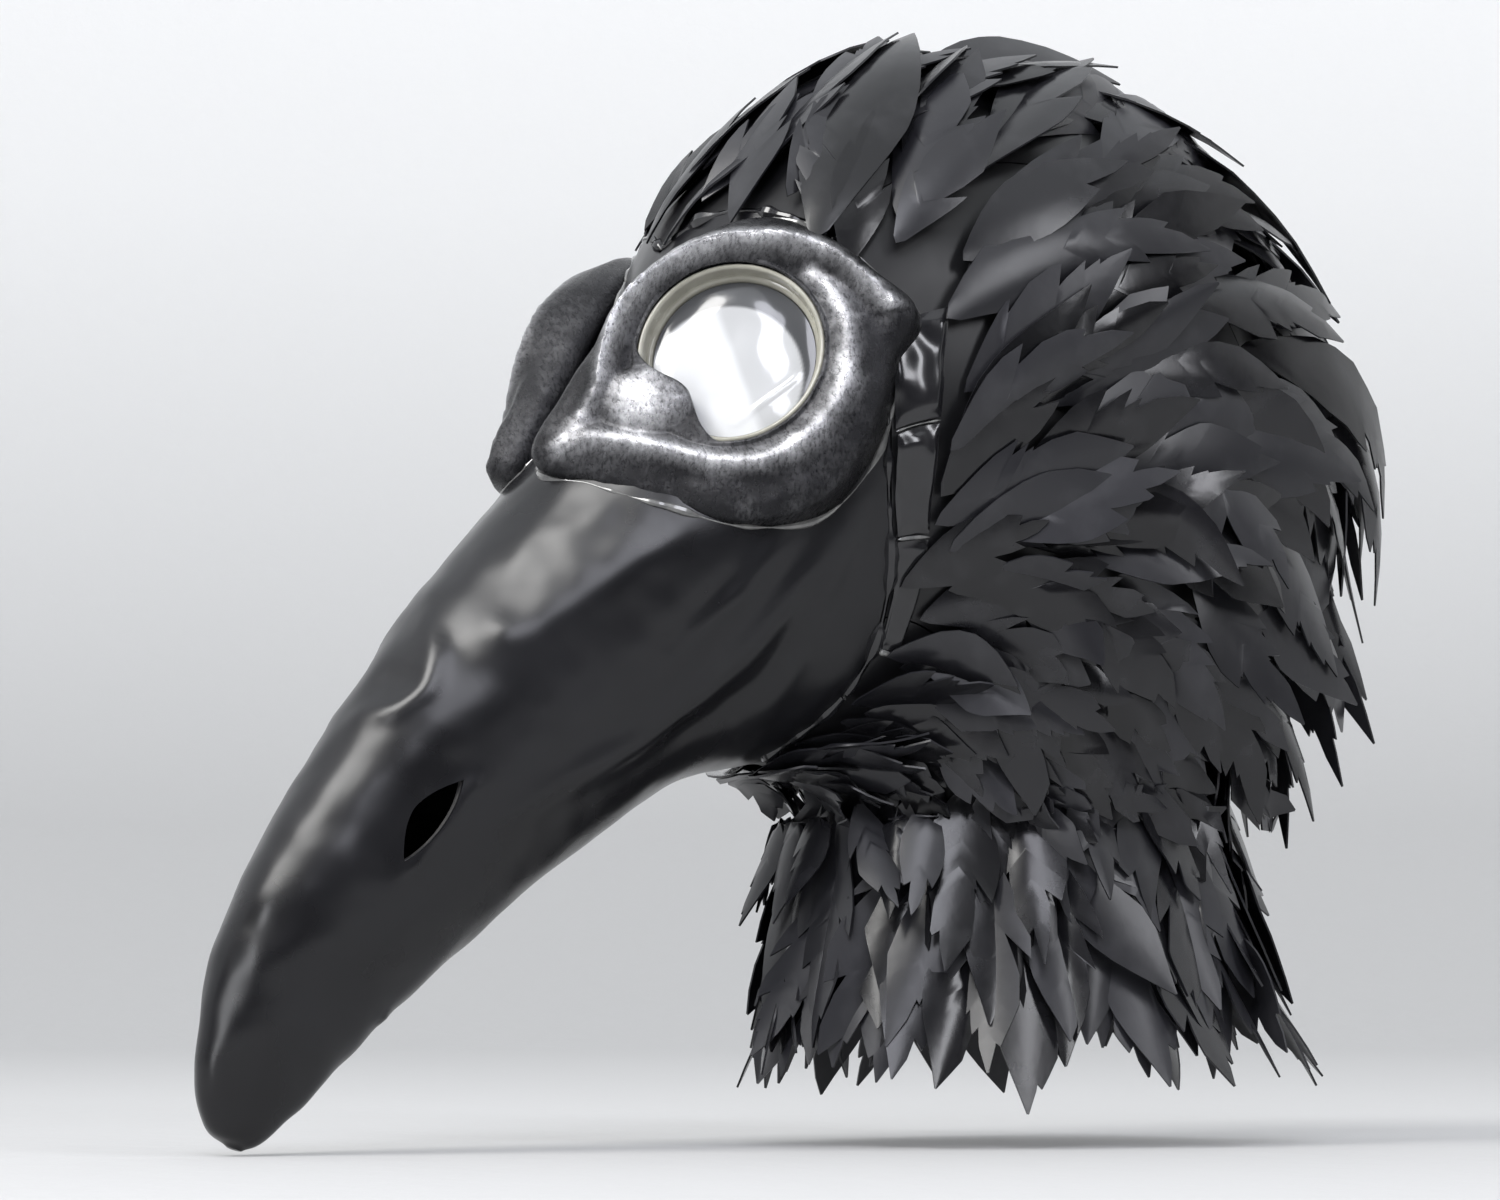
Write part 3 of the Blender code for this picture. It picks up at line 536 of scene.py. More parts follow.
def make_vinyl(name, dark, light, roughness, bump_depth=0.0004, coat=0.0):
    """Thin black plastic sheet: tone and gloss vary softly, with faint ripples and scuffs."""
    material, shader, tree = node_material(name)
    clouds = place_noise(tree, 14.0)
    scuffs = place_noise(tree, 260.0, detail=6.0, stretch=(1.0, 0.25, 0.5))
    tree.links.new(blend_colours(tree, clouds, dark, light), shader.inputs["Base Color"])
    tree.links.new(ramp(tree, clouds, 0.3, 0.7, *roughness), shader.inputs["Roughness"])
    shader.inputs["Specular IOR Level"].default_value = 0.42
    shader.inputs["Coat Weight"].default_value = coat
    shader.inputs["Coat Roughness"].default_value = 0.12
    add_bumps(tree, shader, (
        (place_noise(tree, 45.0, detail=3.0), 0.25, bump_depth),
        (scuffs, 0.06, 0.0001),
    ))
    return material


def make_pewter():
    """Silver wax rubbed over black: bright on the crests, dark in the hollows, with brush marks."""
    material, shader, tree = node_material("rubbed_pewter")
    rub = add_node(tree, "ShaderNodeAttribute", attribute_name="rub").outputs["Fac"]
    patches = place_noise(tree, 210.0, detail=9.0, roughness=0.80)
    strokes = place_noise(tree, 900.0, detail=6.0, roughness=0.7, stretch=(0.25, 1.0, 0.5))
    clouds = place_noise(tree, 45.0, detail=3.0)
    rub = ramp(tree, rub, 0.0, 1.0, 0.10, 1.0)
    worn = multiply(tree, rub, ramp(tree, patches, 0.38, 0.60, 0.60, 1.10))
    worn = multiply(tree, worn, ramp(tree, strokes, 0.36, 0.60, 0.60, 1.10))
    worn = multiply(tree, worn, ramp(tree, clouds, 0.36, 0.60, 0.45, 1.10))
    colour = blend_colours(tree, worn, (0.010, 0.010, 0.012), (0.62, 0.62, 0.64), 0.06, 0.95)
    tree.links.new(colour, shader.inputs["Base Color"])
    tree.links.new(ramp(tree, worn, 0.0, 0.7, 0.55, 1.0), shader.inputs["Metallic"])
    tree.links.new(ramp(tree, strokes, 0.3, 0.7, 0.20, 0.40), shader.inputs["Roughness"])
    add_bumps(tree, shader, (
        (patches, 0.55, 0.0007),
        (strokes, 0.70, 0.0003),
    ))
    return material


def make_feather_finish():
    """Satin black sheet: each feather has its own tone, some are dusty, with a faint grain."""
    material, shader, tree = node_material("feather_sheet")
    own_tone = add_node(tree, "ShaderNodeNewGeometry").outputs["Random Per Island"]
    dust = place_noise(tree, 55.0, detail=5.0)
    tone = blend_colours(tree, own_tone, (0.005, 0.005, 0.006), (0.020, 0.020, 0.024), 0.1, 0.95)
    dusty = blend_colours(tree, dust, (0.0, 0.0, 0.0), (0.016, 0.016, 0.017), 0.50, 0.80)
    mix = add_node(tree, "ShaderNodeMix", data_type="RGBA", blend_type="ADD")
    mix.inputs["Factor"].default_value = 1.0
    tree.links.new(tone, mix.inputs["A"])
    tree.links.new(dusty, mix.inputs["B"])
    tree.links.new(mix.outputs["Result"], shader.inputs["Base Color"])
    tree.links.new(ramp(tree, own_tone, 0.0, 1.0, 0.18, 0.38), shader.inputs["Roughness"])
    add_bumps(tree, shader, (
        (place_noise(tree, 90.0, detail=2.0), 0.20, 0.0004),
        (place_noise(tree, 900.0, detail=2.0), 0.12, 0.0001),
    ))
    return material


def make_cream(name, dark, light, roughness):
    """Slightly aged ivory plastic."""
    material, shader, tree = node_material(name)
    clouds = place_noise(tree, 60.0)
    tree.links.new(blend_colours(tree, clouds, dark, light), shader.inputs["Base Color"])
    tree.links.new(ramp(tree, clouds, 0.3, 0.7, *roughness), shader.inputs["Roughness"])
    shader.inputs["Coat Weight"].default_value = 0.4
    add_bumps(tree, shader, ((place_noise(tree, 400.0), 0.1, 0.0001),))
    return material


def make_lens_finish():
    """Pale, milky and opaque: it stands for hazy clear sheet, with faint creases and a painted shade."""
    material, shader, tree = node_material("hazy_clear_sheet")
    haze = place_noise(tree, 30.0, detail=2.0)
    shade = add_node(tree, "ShaderNodeAttribute", attribute_name="shade").outputs["Fac"]
    pale = multiply(tree, ramp(tree, shade, 0.0, 1.0, 1.0, 0.04), ramp(tree, haze, 0.35, 0.60, 0.86, 1.0))
    tree.links.new(
        blend_colours(tree, pale, (0.05, 0.052, 0.056), (0.74, 0.75, 0.76), 0.0, 1.0),
        shader.inputs["Base Color"],
    )
    shader.inputs["Roughness"].default_value = 0.10
    shader.inputs["Coat Weight"].default_value = 0.6
    shader.inputs["Coat Roughness"].default_value = 0.04
    add_bumps(tree, shader, ((place_noise(tree, 60.0, detail=2.0), 0.15, 0.0006),))
    return material


def make_foam():
    """Open-cell black foam."""
    material, shader, tree = node_material("black_foam")
    cells = add_node(tree, "ShaderNodeTexVoronoi", scale=700.0)
    place = add_node(tree, "ShaderNodeTexCoord")
    tree.links.new(place.outputs["Object"], cells.inputs["Vector"])
    clouds = place_noise(tree, 40.0)
    tree.links.new(blend_colours(tree, clouds, (0.014, 0.014, 0.015), (0.034, 0.034, 0.036)),
                   shader.inputs["Base Color"])
    tree.links.new(ramp(tree, clouds, 0.3, 0.7, 0.85, 0.98), shader.inputs["Roughness"])
    add_bumps(tree, shader, ((cells.outputs["Distance"], 0.8, 0.0008),))
    return material


def make_webbing():
    """Woven elastic: ribs across the strap and fine yarn."""
    material, shader, tree = node_material("elastic_webbing")
    ribs = place_noise(tree, 420.0, detail=1.0, stretch=(1.0, 1.0, 0.12))
    yarn = place_noise(tree, 1500.0, detail=2.0)
    tree.links.new(blend_colours(tree, ribs, (0.010, 0.010, 0.011), (0.040, 0.040, 0.044)),
                   shader.inputs["Base Color"])
    tree.links.new(ramp(tree, yarn, 0.3, 0.7, 0.70, 0.92), shader.inputs["Roughness"])
    shader.inputs["Sheen Weight"].default_value = 0.3
    add_bumps(tree, shader, ((ribs, 0.8, 0.0004), (yarn, 0.4, 0.0002)))
    return material


def make_metal(name, dark, light, roughness):
    """Plated metal with fine wear."""
    material, shader, tree = node_material(name)
    wear = place_noise(tree, 500.0, detail=6.0, stretch=(1.0, 0.2, 1.0))
    tree.links.new(blend_colours(tree, wear, dark, light), shader.inputs["Base Color"])
    tree.links.new(ramp(tree, wear, 0.3, 0.7, *roughness), shader.inputs["Roughness"])
    shader.inputs["Metallic"].default_value = 1.0
    add_bumps(tree, shader, ((wear, 0.15, 0.0001),))
    return material


def make_former():
    """Grey fibrous board under the skin."""
    material, shader, tree = node_material("grey_former")
    fibres = place_noise(tree, 300.0, detail=8.0, stretch=(1.0, 0.3, 1.0))
    tree.links.new(blend_colours(tree, fibres, (0.020, 0.020, 0.021), (0.060, 0.058, 0.056)),
                   shader.inputs["Base Color"])
    tree.links.new(ramp(tree, fibres, 0.3, 0.7, 0.75, 0.95), shader.inputs["Roughness"])
    add_bumps(tree, shader, ((fibres, 0.5, 0.0005),))
    return material


def make_glue():
    """Clear glue as it looks over black: dark, opaque, smooth and very glossy."""
    material, shader, tree = node_material("hot_glue")
    clouds = place_noise(tree, 120.0)
    tree.links.new(blend_colours(tree, clouds, (0.05, 0.05, 0.052), (0.22, 0.22, 0.21)),
                   shader.inputs["Base Color"])
    tree.links.new(ramp(tree, clouds, 0.3, 0.7, 0.06, 0.16), shader.inputs["Roughness"])
    shader.inputs["Coat Weight"].default_value = 0.8
    add_bumps(tree, shader, ((clouds, 0.2, 0.0004),))
    return material


def make_stage_finish():
    """Plaster: pale and giving off a little painted light behind the mask, darkened by painted shade on the
    camera's side.
    """
    material, shader, tree = node_material("plaster_with_painted_shade_and_glow")
    place = add_node(tree, "ShaderNodeTexCoord")
    turn = add_node(tree, "ShaderNodeMapping")
    turn.inputs["Rotation"].default_value = (0.0, 0.0, pi / 2 - CAMERA_AZIMUTH)
    axes = add_node(tree, "ShaderNodeSeparateXYZ")
    tree.links.new(place.outputs["Object"], turn.inputs["Vector"])
    tree.links.new(turn.outputs["Vector"], axes.inputs["Vector"])
    # painted shade: floor and wall turn dark towards the camera's side, set by CAMERA_AZIMUTH
    depth = ramp(tree, axes.outputs["X"], PAINTED_SHADE_FROM, PAINTED_SHADE_TO, 0.0, 1.0)
    base = ramp(tree, axes.outputs["Z"], 0.0, 1.6, FLOOR_TONE, WALL_TONE)
    tone = multiply(tree, base, ramp(tree, depth, 0.0, 1.0, 1.0, PAINTED_SHADE_SHARE))
    tree.links.new(tone, shader.inputs["Base Color"])
    # painted light: the pale wall glows, more towards the top, and not where the painted shade is
    upper = ramp(tree, axes.outputs["Z"], 0.0, 1.0, 0.60, 1.0)
    glow = multiply(tree, upper, ramp(tree, depth, 0.0, 1.0, GLOW, 0.0))
    tree.links.new(glow, shader.inputs["Emission Strength"])
    shader.inputs["Emission Color"].default_value = (0.97, 0.98, 1.0, 1.0)
    shader.inputs["Roughness"].default_value = 0.9
    add_bumps(tree, shader, ((place_noise(tree, 30.0, detail=6.0), 0.35, 0.004),))
    return material


# ---------------------------------------------------------------- beak
# Folds of the skin on each side: height and width, then the line (y, z), all in millimetres
SKIN_FOLDS = (
    (1.6, 9.0, ((-114, -65), (-136, -80), (-156, -96), (-177, -109))),
    (1.8, 5.5, ((-80, -68), (-94, -86), (-107, -99), (-118, -109))),
    (2.4, 6.0, ((-53, -47), (-65, -75), (-78, -93), (-90, -111), (-102, -124), (-123, -142),
                (-143, -152), (-168, -168))),
    (1.6, 5.0, ((-50, -52), (-59, -82), (-68, -105), (-70, -125))),
    (-1.4, 5.0, ((-90, -76), (-104, -92), (-122, -112))),
    (-1.6, 6.0, ((-60, -92), (-80, -120), (-104, -138), (-130, -155))),
    (1.3, 3.5, ((-221, -134), (-209, -131), (-201, -124), (-196, -111), (-193, -95))),
    (-1.2, 4.5, ((-213, -126), (-205, -114))),
    (1.2, 3.0, ((-204, -244), (-211, -242))),
)
# Dimples and knobs: height and radius, then the place (y, z), all in millimetres
SKIN_KNOBS = (
    (1.6, 7.0, (-176, -103)),
    (1.2, 9.0, (-188, -87)),
    (-0.9, 8.0, (-186, -113)),
)
FOLD_GAIN = 1.35
TIP_WAVE = 0.0009               # height of the uneven ripples near the tip
NOSTRIL_LIP = 0.0010
NOSTRIL_DISH = 0.0012
SKIN_COLUMNS = 176
SKIN_ROWS = 150


def nostril_axes(point):
    """Position along and across the nostril slit, seen from the side."""
    offset = Vector((point.y - NOSTRIL_CENTRE.y, point.z - NOSTRIL_CENTRE.z))
    along = Vector((cos(NOSTRIL_SLOPE), sin(NOSTRIL_SLOPE)))
    across = Vector((-sin(NOSTRIL_SLOPE), cos(NOSTRIL_SLOPE)))
    return offset.dot(along), offset.dot(across)


def skin_relief(point):
    """Height of the formed skin over the smooth beak: folds, knobs, nostril lip and ripples."""
    flat = Vector((point.y, point.z)) / MM
    off_middle = smooth_share(abs(point.x), 0.002, 0.014)
    relief = 0.0
    for height, width, line in SKIN_FOLDS:
        distance, share = line_distance(flat, [Vector(spot) for spot in line])
        taper = smooth_share(min(share, 1 - share), -0.05, 0.25)
        relief += FOLD_GAIN * height * MM * bump(distance, width) * (0.35 + 0.65 * taper) * off_middle
    for height, radius, spot in SKIN_KNOBS:
        relief += height * MM * bump((flat - Vector(spot)).length, radius)
    along, across = nostril_axes(point)
    beyond = max(abs(along) - NOSTRIL_LENGTH / 2, 0.0)
    relief += NOSTRIL_LIP * bump(hypot(beyond, across + 0.0045), 0.0035)
    relief -= NOSTRIL_DISH * bump(hypot(beyond, across - 0.007), 0.009)
    toward_tip = smooth_share(-point.z, 0.16, 0.27)
    relief += TIP_WAVE * toward_tip * wobble(point, 0.020)
    relief += 0.0005 * wobble(point, 0.045, 3.0) + 0.0002 * wobble(point, 0.012, 5.0)
    return relief


def skin_point(along, around, depth=0.0):
    """A point of the formed skin, or of a layer under it."""
    relief = skin_relief(beak_point(along, around))
    return lifted(beak_point, along, around, relief - depth)


def nostril_cutter():
    """A leaf-shaped bar across the beak: bowed above, flatter below."""
    half = NOSTRIL_LENGTH / 2
    steps = 24
    outline = []
    for step in range(steps):
        share = -1 + 2 * step / steps
        outline.append((share * half, NOSTRIL_WIDTH * 0.72 * (1 - abs(share) ** 1.7)))
    for step in range(steps):
        share = 1 - 2 * step / steps
        outline.append((share * half, -NOSTRIL_WIDTH * 0.34 * (1 - abs(share) ** 2.2)))
    return prism("nostril_cutter", outline, lambda u, v, w: Vector((
        w * 0.08,
        NOSTRIL_CENTRE.y + u * cos(NOSTRIL_SLOPE) - v * sin(NOSTRIL_SLOPE),
        NOSTRIL_CENTRE.z + u * sin(NOSTRIL_SLOPE) + v * cos(NOSTRIL_SLOPE),
    )))


def prism(name, outline, place):
    """A closed bar with the given outline; place(u, v, w) puts it in the world for w = -1 and 1."""
    count = len(outline)
    points = [place(u, v, -1) for u, v in outline] + [place(u, v, 1) for u, v in outline]
    faces = [(k, (k + 1) % count, count + (k + 1) % count, count + k) for k in range(count)]
    faces += [tuple(reversed(range(count))), tuple(range(count, 2 * count))]
    bar = make_object(name, points, faces)
    edit_mesh(bar, face_outward)
    return bar


def eye_cutter(side):
    """A bar of the surround's outline, a little smaller, so that the surround covers the cut edge."""
    margin = 0.004
    outline = []
    for angle in range(0, 360, 5):
        radius = outline_radius(angle) - margin
        outline.append((radius * cos(radians(angle)), radius * sin(radians(angle))))
    return prism("eye_cutter", outline, lambda u, v, w: eye_place(side, u, v, w * 0.045))


def cut_away(thing, cutters):
    """Cut a piece with each cutter, then apply the cuts."""
    for cutter in cutters:
        boolean = thing.modifiers.new("cut", "BOOLEAN")
        boolean.operation = "DIFFERENCE"
        boolean.solver = "EXACT"
        boolean.object = cutter
    settle(thing)


def make_beak(vinyl, former):
    """The formed skin with its nostrils and eye openings, and the former under it."""
    nostril = nostril_cutter()
    eyes = {side: eye_cutter(side) for side, _ in LEFT_AND_RIGHT}
    skin = surface("beak_formed_skin", lambda across, down: skin_point(down, 2 * pi * across),
                   SKIN_COLUMNS, SKIN_ROWS, closed=True)
    edit_mesh(skin, close_tip, face_outward)
    skin.data.shade_smooth()
    thicken(skin, BEAK_SKIN_SHEET)
    cut_away(skin, [nostril, *eyes.values()])
    finish_piece(skin, vinyl, ["beak_skin"])
    depth = BEAK_SKIN_SHEET + GAP
    margin = radians(2)
    for side, name in LEFT_AND_RIGHT:
        def place(across, down, side=side):
            along = BEAK_FRAME_SPAN[0] + (BEAK_FRAME_SPAN[1] - BEAK_FRAME_SPAN[0]) * down
            around = margin + (pi - 2 * margin) * across
            return skin_point(along, around if side > 0 else around - pi, depth)
        half = surface(f"beak_former_{name}", place, 48, 60, BEAK_FRAME_SHEET)
        cut_away(half, [nostril, eyes[side]])
        finish_piece(half, former, [f"beak_frame_{name}"])
    for cutter in (nostril, *eyes.values()):
        bpy.data.objects.remove(cutter)


def close_tip(shape):
    """Close the skin's small end with a cap of triangles."""
    ring = [edge for edge in shape.edges if edge.is_boundary and edge.verts[0].co.z < TIP_LEVEL]
    cap = bmesh.ops.contextual_create(shape, geom=ring)["faces"]
    bmesh.ops.poke(shape, faces=cap)


# ---------------------------------------------------------------- eye assemblies
# Ridges of the eye surround on the lens plane: right, up, height, width, all in millimetres
BROW_CREST = (
    (-68, -42, 5, 5), (-50, -17, 12, 5), (-47, 1, 14.5, 5.5), (-42, 18, 15.5, 6), (-30, 31, 16.5, 6),
    (-13, 41, 17, 6.5), (4, 44, 17, 7), (21, 43, 16.5, 7), (36, 38, 15, 6.5), (50, 28, 13, 6),
    (64, 14, 10, 5), (71, 12, 7, 4),
)
LOWER_CREST = (
    (-68, -42, 5, 5), (-52, -33, 11, 6), (-34, -35, 12, 6), (-18, -39, 11.5, 5.5), (-2, -43, 11, 5.5),
    (11, -43, 11, 6), (24, -39, 11, 6.5), (35, -30, 11.3, 7), (43, -17, 11.5, 7), (45, -2, 11.5, 7),
    (43, 12, 11.3, 6), (37, 23, 10.5, 5), (29, 31, 8.5, 4),
)
CREST_DETAIL = 3                # points between two of a crest's keys
LOBE_CENTRE = Vector((-30, -18))
LOBE_SIZE = Vector((18.5, 14.0))
LOBE_HEIGHT = 13.5
LOBE_OVERLAP = 14.5             # how far the lobe reaches over the lens
LOBE_MIDDLE = 221               # direction of the overlap's middle, and its half spread, in degrees
LOBE_SPREAD = 45
HOLLOW_LEVEL = 7.0              # height of the hollow between brow and ring
EDGE_LEVEL = 1.0                # height of the surround's thin outer edge
LIP_LEVEL = 9.3                 # the surround laps over the ring's rim at this height
HAND_WORK = 0.55                # unevenness of the sculpted surface
LEAST_EDGE = 1.5                # least width of the slope outside a crest
LOBE_DROP = 7.5                 # how far the lobe's overhanging edge turns down
SURROUND_TURNS = 264
SURROUND_ROWS = 52
OUTER_CREST_FROM = 14           # the brow is the outer crest from here, through the top, to the
OUTER_CREST_TO = 209            # front corner; the lower crest is, on the rest of the way


def outline_radius(angle):
    """Radius of the eye surround's outline in a direction given in degrees."""
    keys = [(place - 360, radius) for place, radius in SURROUND_OUTLINE[-2:]]
    keys += SURROUND_OUTLINE
    keys += [(place + 360, radius) for place, radius in SURROUND_OUTLINE[:2]]
    return spline(keys, angle % 360)[0]


def smooth_crest(crest):
    """A crest's keys with more points between them."""
    keys = [(index, *values) for index, values in enumerate(crest)]
    count = (len(crest) - 1) * CREST_DETAIL
    return [spline(keys, min(step / CREST_DETAIL, len(crest) - 1.001)) for step in range(count + 1)]


SMOOTH_BROW = smooth_crest(BROW_CREST)
SMOOTH_LOWER = smooth_crest(LOWER_CREST)


def crest_place(crest, spot):
    """Distance from a spot to a crest, with the crest's height and width there."""
    nearest = None
    for start, end in zip(crest, crest[1:]):
        a = Vector(start[:2])
        run = Vector(end[:2]) - a
        share = min(max((spot - a).dot(run) / run.length_squared, 0.0), 1.0)
        distance = (spot - a - run * share).length
        if nearest is None or distance < nearest[0]:
            height = start[2] + (end[2] - start[2]) * share
            width = start[3] + (end[3] - start[3]) * share
            nearest = (distance, height, width)
    return nearest


def crest_radius(crest, angle):
    """Distance from the lens axis to a crest in one direction, in millimetres."""
    direction = Vector((cos(angle), sin(angle)))
    best = min(crest, key=lambda key: -Vector(key[:2]).normalized().dot(direction))
    return Vector(best[:2]).length


def soft_max(values, softness=1.0):
    """The largest of the values, with the joins between them rounded."""
    top = max(values)
    return top + softness * log(sum(exp((value - top) / softness) for value in values))


def lobe_overlap(angle):
    """How far the inner edge moves in over the lens, in millimetres."""
    share = (angle - LOBE_MIDDLE) / LOBE_SPREAD
    return LOBE_OVERLAP * cos(share * pi / 2) ** 1.3 if abs(share) < 1 else 0.0


def surround_height(side, right, up, outer_share, radius):
    """Height and rub of the surround at a place on the lens plane, in millimetres."""
    spot = Vector((right, up))
    values = []
    rub = 0.0
    for crest in (SMOOTH_BROW, SMOOTH_LOWER):
        distance, height, width = crest_place(crest, spot)
        share = bump(distance, width)
        values.append(HOLLOW_LEVEL + (height - HOLLOW_LEVEL) * share)
        rub = max(rub, bump(distance, width * 0.75))
    inside = Vector(((right - LOBE_CENTRE.x) / LOBE_SIZE.x, (up - LOBE_CENTRE.y) / LOBE_SIZE.y)).length
    if inside < 1:
        dome = sqrt(1 - inside * inside)
        values.append(HOLLOW_LEVEL + (LOBE_HEIGHT - HOLLOW_LEVEL) * dome)
        rub = max(rub, dome * 0.9)
    height = soft_max(values)
    if outer_share > 0:
        top = height
        height = EDGE_LEVEL + (top - EDGE_LEVEL) * sqrt(max(1 - outer_share ** 2.2, 0.0))
        height = soft_max([height, min(values[0], top) * (1 - outer_share)])
        rub *= (1 - outer_share) ** 2
    if radius < RING_RADIUS / MM + 1.5:
        height = soft_max([height, LIP_LEVEL], 0.4)
    large = wobble(Vector((right, up, side * 40)), 14.0) * 0.7
    small = wobble(Vector((right, up, side * 9)), 5.0) * 0.3
    return height + (large + small) * HAND_WORK, rub


def make_surround(side, name, pewter):
    """The sculpted ring round a lens: brow ridge, hollow, rolled lower rim and tear-duct lobe."""
    points = []
    rubs = []
    wall_rows = ((1.0, SURROUND_BACK / MM), (1.0, SURROUND_BACK / MM * 0.4))
    skirt_rows = ((0.0, 0.25), (0.4, 0.7), (0.8, 1.0))
    for turn in range(SURROUND_TURNS):
        degree = 360 * turn / SURROUND_TURNS
        angle = radians(degree)
        outer = outline_radius(degree) / MM
        outer_crest = SMOOTH_BROW if OUTER_CREST_FROM < degree < OUTER_CREST_TO else SMOOTH_LOWER
        crest = min(crest_radius(outer_crest, angle), outer - LEAST_EDGE)
        overlap = lobe_overlap(degree)
        inner = SURROUND_BORE / MM - overlap
        column = []
        for reach, height in wall_rows:
            column.append((outer * reach, height, 0.0))
        for row in range(SURROUND_ROWS + 1):
            share = row / SURROUND_ROWS
            radius = outer + (inner - outer) * (share ** 0.85)
            outer_share = max((radius - crest) / (outer - crest), 0.0)
            right = radius * cos(angle)
            up = radius * sin(angle)
            height, rub = surround_height(side, right, up, outer_share, radius)
            column.append((radius, height, rub))
        drop = LOBE_DROP * smooth_share(overlap, 4.0, 12.0)
        rim = column[-1]
        for inward, share in skirt_rows:
            column.append((rim[0] - 0.4 + inward, rim[1] - 0.4 - drop * share, 0.3))
        column.append((SURROUND_BORE / MM, LIP_LEVEL - 0.6, 0.0))
        column.append((SURROUND_BORE / MM, SURROUND_BACK / MM, 0.0))
        for radius, height, rub in column:
            points.append(eye_place(side, radius * cos(angle) * MM, radius * sin(angle) * MM, height * MM))
            rubs.append(rub)
    rows = len(points) // SURROUND_TURNS
    faces = grid_faces(rows, SURROUND_TURNS, closed_columns=True, closed_rows=True)
    thing = make_object(f"eye_surround_sculpt_{name}", points, faces)
    if side > 0:
        thing.data.flip_normals()
    layer = thing.data.attributes.new("rub", "FLOAT", "POINT")
    layer.data.foreach_set("value", rubs)
    finish_piece(thing, pewter, [f"eye_surround_{name}"])


def ring_profile():
    """Section of the ivory tube: rounded rim, inner wall, step in front of the lens."""
    rim = 0.0011
    middle = RING_RADIUS - rim
    rounded = [(middle + rim * cos(a), RING_FRONT - rim + rim * sin(a))
               for a in [pi * step / 8 for step in range(9)]]
    return [
        (RING_RADIUS, RING_BACK), *rounded,
        (0.0330, 0.0045), (0.0327, 0.0032), (RING_BORE + 0.0009, 0.0030), (RING_BORE + 0.0002, 0.0026),
        (RING_BORE - 0.0002, 0.0016), (RING_BORE, RING_BACK),
    ]


def make_ring(side, name, cream):
    """The ivory tube that holds the lens."""
    ring = turned(f"lens_tube_{name}", list(reversed(ring_profile())), side)
    finish_piece(ring, cream, [f"lens_ring_{name}"])


LENS_SHADE_CENTRE = (-0.0030, -0.0085)  # the painted shade starts outside this circle
LENS_SHADE_RADIUS = 0.0290
LENS_SHADE_BLUR = 0.0012
REAR_SHADE = 0.34               # the rear half is this much of the full shade
LENS_SHEET = 0.0008
LENS_SEAT = 0.0004              # height of the sheet's rim
LENS_DOME = 0.0014
LENS_CREASE = (Vector((0.002, -0.026)), Vector((0.024, -0.008)))
LENS_CREASE_HEIGHT = 0.0005
LENS_CREASE_WIDTH = 0.0012
LENS_WAVE = 0.0003


def make_lens(side, name, hazy):
    """A thin sheet, slightly domed, with a soft crease near its rear lower edge and a painted shade."""
    radius = RING_BORE - GAP * 2

    def place(across, down):
        angle = 2 * pi * across
        reach = radius * down
        right = reach * cos(angle)
        up = reach * sin(angle)
        inside_rim = 1 - down ** 6
        crease = bump(line_distance(Vector((right, up)), LENS_CREASE)[0], LENS_CREASE_WIDTH)
        height = LENS_SEAT + LENS_DOME * (1 - down * down)
        height += LENS_CREASE_HEIGHT * crease * inside_rim
        height += LENS_WAVE * wobble(Vector((right, up, 0.0)), 0.014) * inside_rim
        return eye_place(side, right, up, height)

    lens = surface(f"lens_sheet_{name}", place, 96, 48, closed=True)
    edit_mesh(lens, merge_points, face_outward)
    thicken(lens, LENS_SHEET, offset=0.0)
    settle(lens)
    rearward, upward, _ = lens_axes(side)
    middle = eye_place(side, *LENS_SHADE_CENTRE, 0.0)
    shades = []
    for vertex in lens.data.vertices:
        offset = vertex.co - middle
        distance = hypot(offset.dot(rearward), offset.dot(upward))
        crescent = smooth_share(
            distance, LENS_SHADE_RADIUS - LENS_SHADE_BLUR, LENS_SHADE_RADIUS + LENS_SHADE_BLUR,
        )
        rear = smooth_share(offset.dot(rearward) + 0.4 * offset.dot(upward), 0.004, 0.009)
        shades.append(max(crescent, REAR_SHADE * rear))
    layer = lens.data.attributes.new("shade", "FLOAT", "POINT")
    layer.data.foreach_set("value", shades)
    finish_piece(lens, hazy, [f"lens_{name}"])


RETAINER_BORE = 0.0280
RETAINER_CHAMFER = 0.0005
RETAINER_FRONT = -0.0007


def make_retainer(side, name, cream):
    """The snap ring behind the lens, with chamfered corners."""
    outer = RING_BORE - GAP * 2
    inner = RETAINER_BORE
    chamfer = RETAINER_CHAMFER
    front = RETAINER_FRONT
    profile = [
        (inner, front - chamfer), (inner + chamfer, front), (outer - chamfer, front),
        (outer, front - chamfer), (outer, RING_BACK + chamfer), (outer - chamfer, RING_BACK),
        (inner + chamfer, RING_BACK), (inner, RING_BACK + chamfer),
    ]
    ring = turned(f"lens_snap_ring_{name}", profile, side)
    finish_piece(ring, cream, [f"lens_retainer_{name}"])


# ---------------------------------------------------------------- hood and patches
CROWN_EDGE = radians(48)        # the crown and back panels end here on each side
JAW_EDGE = radians(128)         # the side panels end here
CROWN_END = 0.50                # turn where the crown panel ends
PANEL_SEAM = 0.005              # angle left open between two panels
TURN_SEAM = 0.004
COLLAR_SEAM = 0.010
PANEL_UNEVENNESS = 0.0006


